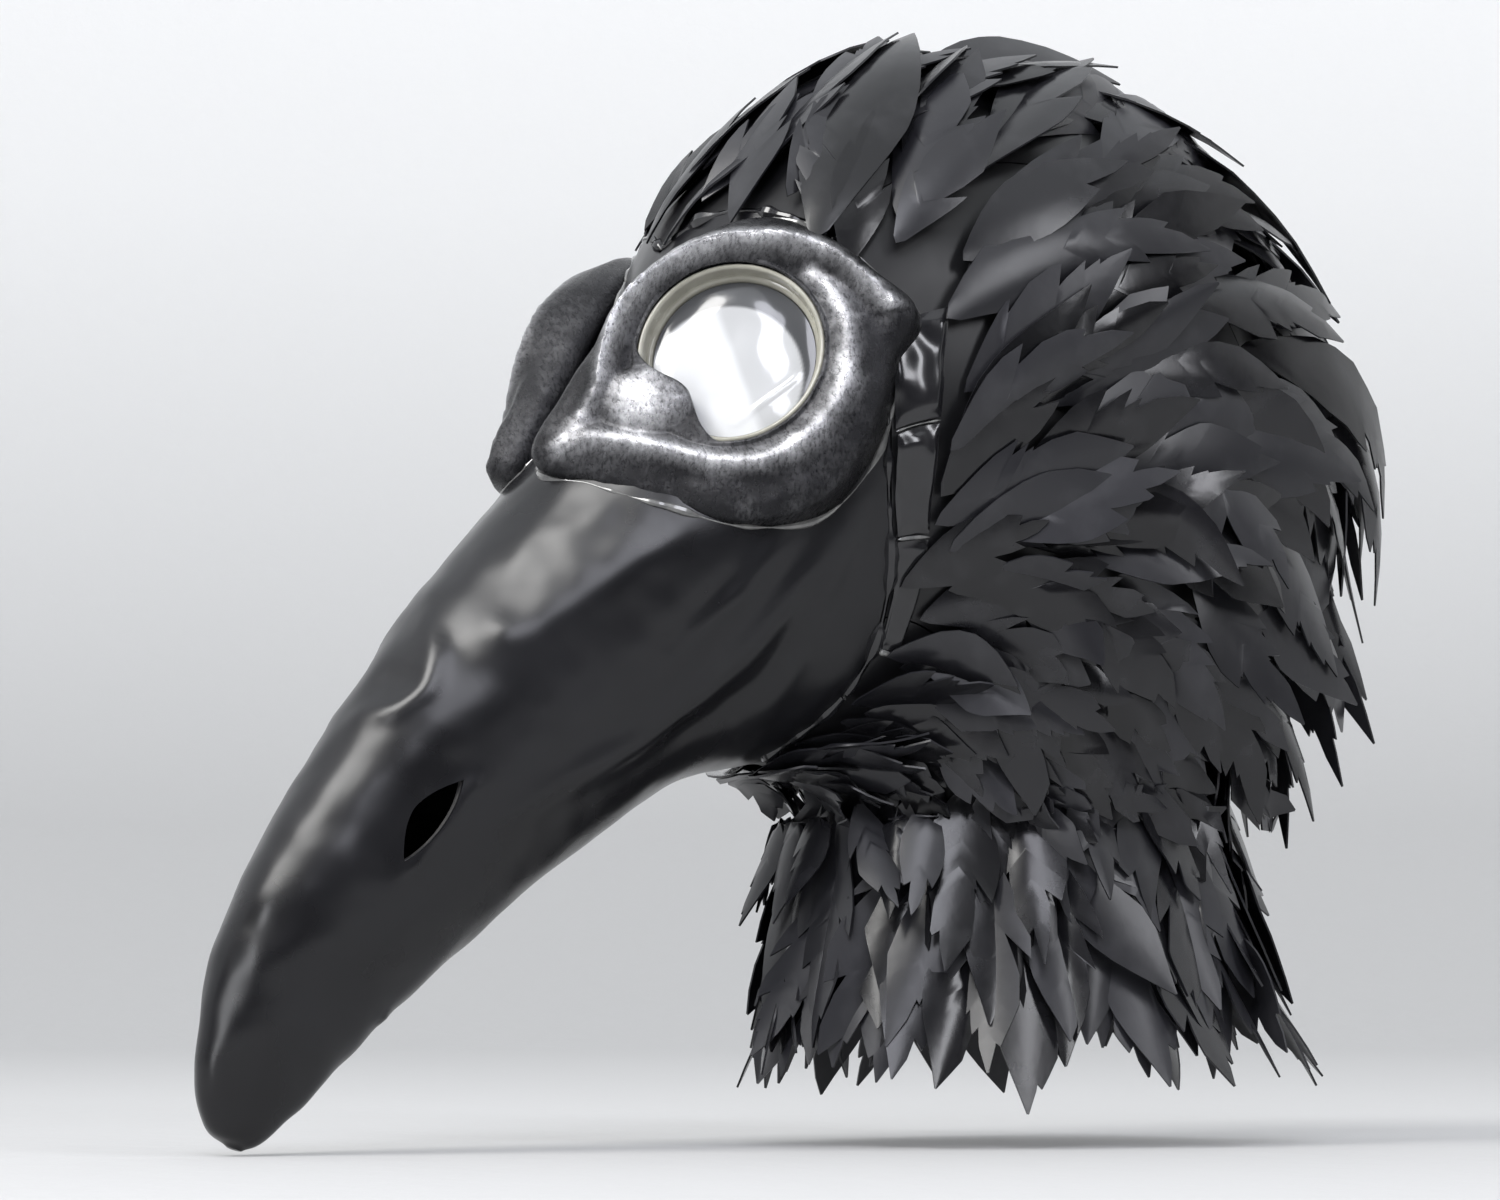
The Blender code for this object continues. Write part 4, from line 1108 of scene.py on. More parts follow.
def make_hood(material):
    """The hood's sheet panels, edge to edge under the feathers, with a slightly uneven surface."""
    panels = (
        ("crown", -CROWN_EDGE, CROWN_EDGE, None, CROWN_END),
        ("back", -CROWN_EDGE, CROWN_EDGE, CROWN_END + TURN_SEAM, NECK_START),
        ("side_left", CROWN_EDGE + PANEL_SEAM, JAW_EDGE, None, NECK_START),
        ("side_right", -JAW_EDGE, -CROWN_EDGE - PANEL_SEAM, None, NECK_START),
        ("throat", JAW_EDGE + PANEL_SEAM, 2 * pi - JAW_EDGE - PANEL_SEAM, None, NECK_START),
        ("collar_left", PANEL_SEAM, pi - PANEL_SEAM, NECK_START + COLLAR_SEAM, HEM),
        ("collar_right", PANEL_SEAM - pi, -PANEL_SEAM, NECK_START + COLLAR_SEAM, HEM),
    )
    for name, first, last, turn_from, turn_to in panels:
        def place(across, down, first=first, last=last, turn_from=turn_from, turn_to=turn_to):
            around = first + (last - first) * across
            start = seam_turn(around) if turn_from is None else turn_from
            turn = start + (turn_to - start) * down
            return lifted(hood_point, turn, around, PANEL_UNEVENNESS * wobble(hood_point(turn, around), 0.03))
        panel = surface(f"hood_sheet_{name}", place, 40, 40, HOOD_SHEET)
        settle(panel)
        finish_piece(panel, material, [f"hood_{name}"])


def make_patches(gloss):
    """Three glossy strips on each side, each a little puckered, with its edges pressed down."""
    for side, side_name in LEFT_AND_RIGHT:
        for place_name, top, bottom in TEMPLE_PATCHES:
            def place(across, down, side=side, top=top, bottom=bottom):
                first, last = (top, bottom) if side > 0 else (-bottom, -top)
                around = radians(first + (last - first) * across)
                start = seam_turn(around) + PATCH_SETBACK
                edge = min(across, 1 - across, down, 1 - down)
                spot = hood_point(start + PATCH_TURN * down, around)
                pucker = 0.0010 * wobble(spot, 0.022, top) + 0.0004 * wobble(spot, 0.008, bottom)
                pressed = PATCH_EDGE_PRESS * (smooth_share(edge, 0.0, 0.12) - 1)
                lift = PATCH_SHEET + GLUE_BED + pressed + pucker
                return lifted(hood_point, start + PATCH_TURN * down, around, lift)
            patch = surface(f"temple_strip_{place_name}_{side_name}", place, 36, 30, PATCH_SHEET)
            settle(patch)
            finish_piece(patch, gloss, [f"temple_patch_{place_name}_{side_name}"])


# ---------------------------------------------------------------- feathers
# Each head row's feather length, and how far its feathers stand off at the middle
HEAD_FEATHERS = (
    (0.080, 0.12), (0.090, 0.13), (0.096, 0.19), (0.098, 0.32), (0.099, 0.58), (0.097, 0.82), (0.090, 0.52),
    (0.074, 0.20),
)
# Leaf shape of a feather: share of the length, share of the full half width
LEAF_OUTLINE = (
    (0.00, 0.20), (0.12, 0.50), (0.28, 0.84), (0.42, 1.00), (0.56, 0.94), (0.70, 0.72), (0.85, 0.38),
    (1.00, 0.01),
)
NECK_FEATHERS = (0.100, 0.086, 0.070)   # feather length of each neck row
HEAD_FEATHER_WIDTH = 0.030
HEAD_FEATHER_SPACING = 0.038
NECK_FEATHER_WIDTH = 0.033
ROW_OFFSET = 0.45               # the second line of a row is planted this share of a pitch behind
ROW_ARC_GAIN = radians(2.4)     # each head row reaches this much further down than the one before
FEATHER_STEPS = 10              # cross lines along a plain feather
FEATHER_SPREAD = (-1.0, -0.5, 0.0, 0.5, 1.0)
BARB_SLANT = 1.1                # cross lines sweep towards the tip, as barbs do
NOTCH_RECOVERY = 0.15           # a notch opens at once and closes over this share of the length
SPINE_STEPS = 6
FRINGE_SETBACK = 0.012          # a fringe of short feathers stands in front of the first row
FRINGE_ARC = radians(64)
FRINGE_LENGTH = 0.052
FRINGE_WIDTH = 0.024
NECK_SUB_ROW = 0.10             # turns between the two lines of a neck row
SIDE_FLARE_SHARE = 0.45         # flare of a neck row at the sides, as a share of the middle's
JAW_SUB_ROW = 0.065
JAW_ARC = radians(66)
JAW_LENGTH = 0.060
JAW_WIDTH = 0.026
JAW_SPACING = 0.017
CHIN_ARC = radians(48)
CHIN_LENGTH = 0.046
CHIN_WIDTH = 0.018
CHIN_SPACING = 0.012
UPWARD_HEADING = radians(50)    # the side feathers point this much more upward than the hood turns

# How unevenly the feathers are glued on
SPACING_JITTER = 0.25           # sideways, as a share of the spacing
ROOT_JITTER = 0.024             # along the hood, in turns
LENGTH_SHARES = (0.80, 1.08)
WIDTH_SHARES = (0.86, 1.10)
SWEEP_SHARE = 1.7               # a head feather's longest reach, as a share of the longest sweep
SHORTEST_FEATHER = 0.055
WIDEST_SHARE = 0.42             # greatest width as a share of the length
HEADING_SPREAD = 0.17
FLARE_SHARES = (0.75, 1.2)
FLARE_EXTRA = (-0.02, 0.03)
STACKING = 0.0025               # feathers lie on each other up to this height
ROLL_SPREAD = 0.28
CURL_RANGE = (-0.10, 0.08)
CAMBER_RANGE = (0.05, 0.35)
NOTCH_COUNTS = (0, 1, 2, 2, 3, 4)
NOTCH_PLACES = (0.36, 0.90)     # shares of the length
NOTCH_DEPTHS = (0.28, 0.58)     # shares of the half width


def notch_loss(share, notches):
    """Share of the width lost to the notches on one edge."""
    loss = 0.0
    for start, depth in notches:
        if start < share < start + NOTCH_RECOVERY:
            loss = max(loss, depth * (1 - (share - start) / NOTCH_RECOVERY))
    return loss


def leaf(chance, length, width):
    """One cut feather, flat: rows of (along, across) from root to tip, with notches in its edges."""
    notches = []
    for _ in LEFT_AND_RIGHT:
        count = chance.choice(NOTCH_COUNTS)
        starts = sorted(chance.uniform(*NOTCH_PLACES) for _ in range(count))
        notches.append([(start, chance.uniform(*NOTCH_DEPTHS)) for start in starts])
    shares = {step / FEATHER_STEPS for step in range(FEATHER_STEPS + 1)}
    for start, _ in notches[0] + notches[1]:
        shares |= {start - 0.001, start + 0.003}
    rows = []
    for share in sorted(shares):
        half = width / 2 * max(spline(LEAF_OUTLINE, share)[0], 0.02)
        middle = share * length - BARB_SLANT * half
        row = []
        for spread in FEATHER_SPREAD:
            reach = abs(spread) * (1 - notch_loss(share, notches[0 if spread < 0 else 1]))
            side = -1 if spread < 0 else 1
            row.append((middle + BARB_SLANT * half * reach, side * half * reach))
        rows.append(row)
    return rows


def plant_feather(points, faces, chance, spine, length, width):
    """Add one feather whose flat shape follows spine(share) = (point, across, outward)."""
    camber = chance.uniform(*CAMBER_RANGE)
    rows = leaf(chance, length, width)
    first = len(points)
    for row in rows:
        for along, across in row:
            spot, sideways, outward = spine(along / length)
            fall = camber * across * across / (width / 2)
            points.append(spot + sideways * across - outward * fall)
    for face in grid_faces(len(FEATHER_SPREAD) - 1, len(rows) - 1):
        faces.append(tuple(first + index for index in face))


def row_point(start, around, distance, lift):
    """A point lifted off the hood at a distance down from a starting turn."""
    turn = start
    steps = 5
    for _ in range(steps):
        rate = HOOD_TURN * max(hood_reach(turn, around), 0.03) if turn < NECK_START else NECK_DROP
        turn += distance / steps / rate
    return lifted(hood_point, turn, around, lift)


def hood_spine(start, around, length, base_lift, flare, heading, roll, curl):
    """A feather's spine on the hood: it leaves the root in its heading and rises off the surface."""
    girth = max((hood_point(start, around + 0.01) - hood_point(start, around - 0.01)).length / 0.02, 0.03)
    stations = []
    for station in range(-1, SPINE_STEPS + 1):
        distance = length * station / SPINE_STEPS
        lift = base_lift + flare * distance + curl * max(distance, 0.0) ** 2 / length
        turned_by = distance * sin(heading) / girth
        stations.append(row_point(start, around + turned_by, distance * cos(heading), lift))
    root = stations[1]
    outward = (row_point(start, around, 0.0, base_lift + STEP) - root).normalized()
    tilt = Matrix.Rotation(roll, 3, (stations[2] - root).normalized())

    def spine(share):
        place = min(max(share * SPINE_STEPS + 1, 0.0), SPINE_STEPS + 0.9999)
        station = int(place)
        run = (stations[station + 1] - stations[station]).normalized()
        across = tilt @ run.cross(outward).normalized()
        return stations[station].lerp(stations[station + 1], place - station), across, across.cross(run)

    return spine


def make_feather_piece(name, replaced, finish, plant):
    """One row's feathers as a single piece, from plant(points, faces)."""
    points = []
    faces = []
    plant(points, faces)
    piece = make_object(name, points, faces)
    thicken(piece, FEATHER_SHEET, offset=0.0)
    piece.modifiers["sheet"].use_even_offset = False
    settle(piece)
    finish_piece(piece, finish, [replaced])


def head_row_root(place, around):
    """Where a row of head feathers is glued: bowed like the border at first, then straighter."""
    straightened = 1.0 - 0.8 * place / HEAD_ROWS
    behind_patches = ROW_BOW * sin(around) ** 4 * straightened
    bow = (border_turn(around) - BORDER_SETBACK) * straightened
    return BORDER_SETBACK + FIRST_ROW_SETBACK + place * HEAD_ROW_PITCH + bow + behind_patches


def upward_heading(turn, around):
    """Heading of the feathers from the hood's own turn: the side ones point back and up."""
    share = smooth_share(abs(around), radians(8), radians(45)) * (1 - smooth_share(turn, 0.60, 1.0))
    return -UPWARD_HEADING * share if around > 0 else UPWARD_HEADING * share


def plant_line(points, faces, chance, root_turn, half_arc, length, width, flare_at, spacing, centre=0.0,
               base_lift=ROOT_LIFT, offset=0.0):
    """Feathers side by side along one root line."""
    reach = max(hood_reach(root_turn(centre), centre), 0.09)
    girth = half_arc * (reach * 0.75 + hood_radii(root_turn(centre))[2])
    count = max(3, round(girth / spacing))
    for index in range(count):
        around = centre + half_arc * (2 * (index + 0.5 + offset) / count - 1)
        around += chance.uniform(-SPACING_JITTER, SPACING_JITTER) * 2 * half_arc / count
        start = root_turn(around) + chance.uniform(-ROOT_JITTER, ROOT_JITTER)
        own_length = length * chance.uniform(*LENGTH_SHARES)
        own_width = width * chance.uniform(*WIDTH_SHARES)
        if start < LAST_HEAD_ROOT:
            limit = LONGEST_SWEEP * HOOD_TURN * hood_reach(start, around) * SWEEP_SHARE
            own_length = max(min(own_length, limit), SHORTEST_FEATHER)
        own_width = min(own_width, own_length * WIDEST_SHARE)
        flat = (around + pi) % (2 * pi) - pi
        heading = upward_heading(start, flat) + chance.gauss(0.0, HEADING_SPREAD)
        flare = flare_at(around) * chance.uniform(*FLARE_SHARES) + chance.uniform(*FLARE_EXTRA)
        spine = hood_spine(
            start, around, own_length, base_lift + chance.uniform(0.0, STACKING), flare, heading,
            chance.gauss(0.0, ROLL_SPREAD), chance.uniform(*CURL_RANGE),
        )
        plant_feather(points, faces, chance, spine, own_length, own_width)


# Large feathers laid over the rest on each side: root turn and degrees, tip turn and degrees
COVER_FEATHERS = (
    (0.10, 49, 0.25, 7), (0.17, 63, 0.27, 44), (0.24, 67, 0.37, 50), (0.23, 76, 0.46, 54),
    (0.27, 98, 0.42, 76), (0.42, 99, 0.69, 40), (0.35, 115, 0.63, 86), (0.40, 120, 0.77, 98),
)
COVER_LIFT = 0.0065
COVER_RISE = 0.012
COVER_WIDTH = 0.34              # width as a share of the length


def cover_spine(root_turn, root_around, tip_turn, tip_around, roll):
    """A spine from one place on the hood to another, rising towards its tip."""
    def place(share):
        turn = root_turn + (tip_turn - root_turn) * share
        around = root_around + (tip_around - root_around) * share
        return turn, around, COVER_LIFT + COVER_RISE * max(share, 0.0)

    def spine(share):
        turn, around, lift = place(share)
        spot = lifted(hood_point, turn, around, lift)
        run = lifted(hood_point, *place(share + STEP)) - lifted(hood_point, *place(share - STEP))
        run.normalize()
        outward = lifted(hood_point, turn, around, lift + STEP) - spot
        across = Matrix.Rotation(roll, 3, run) @ run.cross(outward).normalized()
        return spot, across, across.cross(run)

    return spine


def plant_covers(points, faces, chance):
    """The large feathers of both sides."""
    for side, _ in LEFT_AND_RIGHT:
        for root_turn, root_degrees, tip_turn, tip_degrees in COVER_FEATHERS:
            root = side * radians(root_degrees + chance.uniform(-1.5, 1.5))
            tip = side * radians(tip_degrees + chance.uniform(-1.5, 1.5))
            length = (hood_point(tip_turn, tip) - hood_point(root_turn, root)).length
            spine = cover_spine(root_turn, root, tip_turn, tip, chance.gauss(0.0, 0.16))
            plant_feather(points, faces, chance, spine, length, length * COVER_WIDTH)


def make_feathers(finish):
    """Head rows from forehead to nape, then the neck rows, the jaw rows and the chin tuft."""
    for index, (length, flare) in enumerate(HEAD_FEATHERS):
        chance = random.Random(100 + index)
        arc = HEAD_ROW_ARC + index * ROW_ARC_GAIN

        def flare_at(around, flare=flare):
            return SIDE_FLARE + (flare - SIDE_FLARE) * max(cos(around), 0.0)

        def plant(points, faces, index=index, arc=arc, chance=chance, flare_at=flare_at, length=length):
            if index == 0:
                plant_line(
                    points, faces, chance, lambda around: border_turn(around) + FRINGE_SETBACK,
                    FRINGE_ARC, FRINGE_LENGTH, FRINGE_WIDTH, flare_at, FRINGE_WIDTH,
                )
            if index == 2:
                plant_covers(points, faces, random.Random(500))
            for sub_row in range(2):
                place = index + sub_row * ROW_OFFSET
                plant_line(
                    points, faces, chance, lambda around: head_row_root(place, around), arc, length,
                    HEAD_FEATHER_WIDTH, flare_at, HEAD_FEATHER_SPACING, offset=0.5 * sub_row,
                )
        make_feather_piece(f"head_feathers_{index + 1}", f"feather_row_{index + 1}", finish, plant)
    for index, (root, flare) in enumerate(zip(NECK_ROW_ROOTS, NECK_ROW_FLARES)):
        chance = random.Random(200 + index)

        def flare_at(around, flare=flare):
            return flare * (SIDE_FLARE_SHARE + (1 - SIDE_FLARE_SHARE) * max(cos(around), 0.0))

        def plant(points, faces, index=index, root=root, flare_at=flare_at, chance=chance):
            for sub_row in range(2):
                start = root + (sub_row - 1) * NECK_SUB_ROW
                plant_line(
                    points, faces, chance, lambda around: start, pi, NECK_FEATHERS[index],
                    NECK_FEATHER_WIDTH, flare_at, NECK_FEATHER_WIDTH, offset=0.5 * sub_row,
                )
        make_feather_piece(f"neck_feathers_{index + 1}", f"neck_row_{index + 1}", finish, plant)
    for index, setback in enumerate(JAW_ROW_SETBACKS):
        chance = random.Random(300 + index)

        def plant(points, faces, setback=setback, chance=chance):
            for sub_row in range(2):
                start = setback + sub_row * JAW_SUB_ROW
                plant_line(
                    points, faces, chance, lambda around: border_turn(around) + start, JAW_ARC,
                    JAW_LENGTH, JAW_WIDTH, lambda around: SIDE_FLARE, JAW_SPACING, centre=pi,
                    offset=0.5 * sub_row,
                )
        make_feather_piece(f"jaw_feathers_{index + 1}", f"jaw_row_{index + 1}", finish, plant)
    chance = random.Random(400)
    make_feather_piece("chin_feathers", "chin_tuft", finish, lambda points, faces: plant_line(
        points, faces, chance, lambda around: NECK_START, CHIN_ARC, CHIN_LENGTH, CHIN_WIDTH,
        lambda around: SIDE_FLARE, CHIN_SPACING, centre=pi, base_lift=CHIN_LIFT,
    ))


# ---------------------------------------------------------------- pads and head strap
def make_pad(name, node, arc, turns, thickness, foam):
    """A crowned foam pad inside the hood: the glued face is smooth, the face on the head swells."""
    steps = PAD_STEPS
    outer = []
    inner = []
    for row in range(steps + 1):
        for column in range(steps + 1):
            across = column / steps
            down = row / steps
            around = radians(arc[0] + (arc[1] - arc[0]) * across)
            turn = turns[0] + (turns[1] - turns[0]) * down
            glued = lifted(hood_point, turn, around, -HOOD_SHEET - GLUE_BED)
            inward = (lifted(hood_point, turn, around, -1.0) - hood_point(turn, around)).normalized()
            swell = (1 - (2 * across - 1) ** 4) * (1 - (2 * down - 1) ** 4)
            crowned = PAD_EDGE_SHARE + (1 - PAD_EDGE_SHARE) * swell
            depth = thickness * crowned
            if name == "crown":
                depth = min(depth, (glued.z - CROWN_PAD_UNDERSIDE) / max(-inward.z, 0.1))
            outer.append(glued)
            inner.append(glued + inward * depth)
    count = (steps + 1) ** 2
    faces = grid_faces(steps, steps)
    faces += [tuple(reversed(face)) for face in grid_faces(steps, steps, first=count)]
    rim = list(range(steps))
    rim += [steps + k * (steps + 1) for k in range(steps)]
    rim += [count - 1 - k for k in range(steps)]
    rim += [(steps - k) * (steps + 1) for k in range(steps)]
    for first, second in zip(rim, rim[1:] + rim[:1]):
        faces.append((first, second, count + second, count + first))
    pad = make_object(f"foam_pad_{name}", outer + inner, faces)
    edit_mesh(pad, face_outward)
    soften(pad, PAD_ROUNDING, 3)
    finish_piece(pad, foam, [node])


def soften(thing, width, segments):
    """Round a piece's edges."""
    bevel = thing.modifiers.new("rounded", "BEVEL")
    bevel.width = width
    bevel.segments = segments
    bevel.angle_limit = SHARP_ANGLE
    bevel.use_clamp_overlap = True
    settle(thing)


def block(name, size, centre):
    """A box."""
    points = [centre + Vector((size.x * x, size.y * y, size.z * z)) / 2
              for x in (-1, 1) for y in (-1, 1) for z in (-1, 1)]
    faces = [(0, 1, 3, 2), (4, 6, 7, 5), (0, 4, 5, 1), (2, 3, 7, 6), (0, 2, 6, 4), (1, 5, 7, 3)]
    thing = make_object(name, points, faces)
    edit_mesh(thing, face_outward)
    return thing


def strap_path(share):
    """The strap's route round the head, from the left anchor to the right one."""
    straight = STRAP_BEND - STRAP_FRONT
    if share < STRAP_STRAIGHT_SHARE:
        return Vector((STRAP_SIDE, STRAP_FRONT + straight * share / STRAP_STRAIGHT_SHARE, 0.0))
    if share > 1 - STRAP_STRAIGHT_SHARE:
        back = (1 - share) / STRAP_STRAIGHT_SHARE
        return Vector((-STRAP_SIDE, STRAP_FRONT + straight * back, 0.0))
    angle = pi * (share - STRAP_STRAIGHT_SHARE) / (1 - 2 * STRAP_STRAIGHT_SHARE)
    return Vector((STRAP_SIDE * cos(angle), STRAP_BEND + STRAP_BACK_DEPTH * sin(angle), 0.0))


def pin_cutter(side):
    """A bar through the strap and plate, where the rivet passes."""
    steps = 24
    radius = RIVET_SHANK + GAP / 2
    outline = [(radius * cos(2 * pi * k / steps), radius * sin(2 * pi * k / steps)) for k in range(steps)]
    return prism("pin_cutter", outline, lambda u, v, w: Vector((
        side * (STRAP_SIDE + w * 0.010), RIVET_Y + u, STRAP_HEIGHT + v,
    )))


STRAP_RIPPLE = 0.00008          # height of the webbing's ribs
STRAP_RIBS = 9
PLATE_ROUNDING = 0.0008
SLIDER_ROUNDING = 0.0012
RIVET_CHAMFER = 0.0003
RIVET_SIDES = 32
DOME_STEPS = 8


def make_rivet(side, name, metal):
    """A rivet through the strap and its plate, with its domed head on the wearer's side."""
    head_face = STRAP_SIDE - STRAP_SHEET / 2 - GAP
    shank_end = STRAP_SHEET + 2 * GAP + ANCHOR_SIZE.x
    dome = [(RIVET_HEAD * sin(pi / 2 * k / DOME_STEPS), -RIVET_HEAD_THICKNESS * cos(pi / 2 * k / DOME_STEPS))
            for k in range(DOME_STEPS + 1)]
    profile = [*dome, (RIVET_SHANK, 0.0), (RIVET_SHANK, shank_end - RIVET_CHAMFER),
               (RIVET_SHANK - RIVET_CHAMFER, shank_end), (0.0, shank_end)]
    points = []
    for radius, reach in profile:
        for step in range(RIVET_SIDES):
            angle = 2 * pi * step / RIVET_SIDES
            points.append(Vector((side * (head_face + reach), RIVET_Y + radius * cos(angle),
                                  STRAP_HEIGHT + radius * sin(angle))))
    rivet = make_object(f"plate_rivet_{name}", points,
                        grid_faces(RIVET_SIDES, len(profile) - 1, closed_columns=True))
    weld(rivet)
    finish_piece(rivet, metal, [f"strap_rivet_{name}"])


def make_strap(webbing, plate_finish, metal, slider_finish):
    """The elastic strap, its riveted plates and the keeper that slides on it."""
    def place(across, down):
        ripple = STRAP_RIPPLE * sin(2 * pi * across * STRAP_RIBS)
        lift = Vector((0.0, 0.0, STRAP_HEIGHT + STRAP_WIDTH * (0.5 - across)))
        spot = strap_path(down)
        middle = Vector((0.0, min(spot.y, STRAP_BEND), 0.0))
        return spot + lift + (spot - middle).normalized() * ripple

    strap = surface("elastic_strap", place, 36, 180)
    thicken(strap, STRAP_SHEET - 0.0002, offset=0.0)
    pins = {side: pin_cutter(side) for side, _ in LEFT_AND_RIGHT}
    cut_away(strap, pins.values())
    finish_piece(strap, webbing, ["head_strap"])
    for side, name in LEFT_AND_RIGHT:
        inner_face = STRAP_SIDE + STRAP_SHEET / 2 + GAP
        centre = Vector((side * (inner_face + ANCHOR_SIZE.x / 2), RIVET_Y, STRAP_HEIGHT))
        plate = block(f"strap_plate_{name}", ANCHOR_SIZE, centre)
        soften(plate, PLATE_ROUNDING, 3)
        cut_away(plate, [pins[side]])
        finish_piece(plate, plate_finish, [f"strap_anchor_{name}"])
        make_rivet(side, name, metal)
    for pin in pins.values():
        bpy.data.objects.remove(pin)
    centre = Vector((STRAP_SIDE, SLIDER_HOME, STRAP_HEIGHT))
    keeper = block("strap_keeper", SLIDER_SIZE, centre)
    soften(keeper, SLIDER_ROUNDING, 4)
    slot = block("keeper_slot", SLIDER_SLOT, centre)
    cut_away(keeper, [slot])
    bpy.data.objects.remove(slot)
    finish_piece(keeper, slider_finish, ["strap_slider"], KEEPER_BODY)


def weld(thing):
    """Join points that lie on each other and face the piece outward."""
    edit_mesh(thing, merge_points, face_outward)
    thing.data.shade_smooth()
    thing.data.set_sharp_from_angle(angle=SHARP_ANGLE)


def make_tip_core(former):
    """The filler inside the beak's tip, under the skin's own ripples."""
    def place(across, down):
        along = TIP_CORE_SPAN[0] + (TIP_CORE_SPAN[1] - TIP_CORE_SPAN[0]) * down
        return skin_point(along, 2 * pi * across, BEAK_SKIN_SHEET + 2 * GAP)

    core = surface("beak_tip_filler", place, 48, 16, closed=True)
    edit_mesh(core, fill_holes, face_outward)
    settle(core)
    finish_piece(core, former, ["beak_tip_core"])


# ---------------------------------------------------------------- hot glue
GLUE_BEAD = 0.0011              # radius of a bead of glue
SEAM_BEAD = 0.0024              # radius of the black glue in the face seam
GLUE_STEPS = 8                  # sides of a bead
BEAD_MEAN = 0.55                # thickness of a bead, as a share of its full radius,
BEAD_SWELL = 0.9                # and how much it wanders
BEAD_WAVE = 0.011
LEAST_WANDER = -0.35
STRIP_BEAD_STEPS = 24
STRIP_BEAD_LIFT = 0.0020


def make_bead(name, centres, seed, glue, size=GLUE_BEAD):
    """A bead of hot glue along a line: its thickness wanders and it tapers off at both ends."""
    points = []
    count = len(centres)
    for index, centre in enumerate(centres):
        before = centres[max(index - 1, 0)]
        after = centres[min(index + 1, count - 1)]
        run = (after - before).normalized()
        across = run.orthogonal().normalized()
        rise = run.cross(across)
        swell = BEAD_MEAN + BEAD_SWELL * max(wobble(centre, BEAD_WAVE, seed), LEAST_WANDER)
        ending = min(index, count - 1 - index) / 3
        radius = size * swell * min(ending, 1.0) ** 0.5
        for step in range(GLUE_STEPS):
            angle = 2 * pi * step / GLUE_STEPS
            points.append(centre + (across * cos(angle) + rise * sin(angle)) * max(radius, 0.00005))
    bead = make_object(name, points, grid_faces(GLUE_STEPS, count - 1, closed_columns=True))
    weld(bead)
    finish_piece(bead, glue)


def make_seam_beads(gloss):
    """Black glue that fills the seam between the beak skin and the hood, on each side."""
    for side, side_name in LEFT_AND_RIGHT:
        centres = []
        for degree in range(0, 172):
            around = side * radians(degree)
            turn = (border_turn(around) + seam_turn(around)) / 2
            centres.append(lifted(hood_point, turn, around, -0.0004))
        make_bead(f"seam_glue_{side_name}", centres, 5.0, gloss, SEAM_BEAD)


def make_glue_beads(glue):
    """Glue round the eye surrounds and along the seams of the temple strips."""
    skins = [bpy.data.objects["beak_formed_skin"]]
    skins += [bpy.data.objects[f"hood_sheet_{name}"] for name in ("crown", "side_left", "side_right")]
    bpy.context.view_layer.update()
    for side, side_name in LEFT_AND_RIGHT:
        outward = lens_axes(side)[2]
        centres = []
        for degree in range(0, 361, 2):
            radius = outline_radius(degree) + 0.0006
            start = eye_place(side, radius * cos(radians(degree)), radius * sin(radians(degree)), 0.05)
            hits = []
            for skin in skins:
                found, place, _, _ = skin.ray_cast(start, -outward, distance=0.09)
                if found:
                    hits.append(place)
            if hits:
                centres.append(max(hits, key=lambda place: place.dot(outward)))
        make_bead(f"glue_surround_{side_name}", centres, 2.0, glue)
        for place_name, top, bottom in TEMPLE_PATCHES:
            around = radians(bottom + 0.5) * side
            start = seam_turn(around) + PATCH_SETBACK
            centres = [
                lifted(hood_point, start + PATCH_TURN * k / STRIP_BEAD_STEPS, around, STRIP_BEAD_LIFT)
                for k in range(STRIP_BEAD_STEPS + 1)
            ]
            make_bead(f"glue_seam_{place_name}_{side_name}", centres, top, glue)


# ---------------------------------------------------------------- stage
def make_stage():
    """A floor just under the beak's tip that curves up all round into a wall."""
    level = CAD_BOX[0][2] - 0.0008
    profile = [(0.0, level), (FLOOR_RADIUS * 0.5, level), (FLOOR_RADIUS, level)]
    for step in range(1, 17):
        angle = pi / 2 * step / 16
        profile.append((FLOOR_RADIUS + WALL_BEND * sin(angle), level + WALL_BEND * (1 - cos(angle))))
    profile.append((FLOOR_RADIUS + WALL_BEND, level + WALL_HEIGHT))
    steps = 96
    points = []
    for radius, height in profile:
        for step in range(steps):
            angle = 2 * pi * step / steps
            points.append(Vector((radius * cos(angle), radius * sin(angle), height)))
    bowl = make_object("floor_and_wall", points, grid_faces(steps, len(profile) - 1, closed_columns=True))
    bowl.data.materials.append(make_stage_finish())


def add_area(name, place, size, power, colour):
    """A soft light that faces the mask."""
    light = bpy.data.lights.new(name, "AREA")
    light.shape = "RECTANGLE"
    light.size, light.size_y = size
    light.energy = power
    light.color = colour
    lamp = bpy.data.objects.new(name, light)
    lamp.location = place
    lamp.rotation_euler = (LIGHT_AIM - Vector(place)).to_track_quat("-Z", "Y").to_euler()
    bpy.context.scene.collection.objects.link(lamp)


LIGHT_AIM = Vector((0.0, -0.02, -0.05))
# Soft lights: name, place, width and height, power, colour
LIGHTS = (
    ("window", (0.4, -2.5, 2.3), (1.5, 1.5), 95.0, (1.0, 0.99, 0.97)),
    ("low_strip", (0.9, -2.7, 0.1), (0.35, 1.7), 22.0, (0.96, 0.97, 1.0)),
    ("front_soft", (1.7, -1.1, 1.6), (0.9, 1.4), 26.0, (0.90, 0.91, 1.0)),
    ("side_strip", (2.7, 0.9, 1.3), (0.5, 1.5), 26.0, (0.94, 0.95, 1.0)),
)


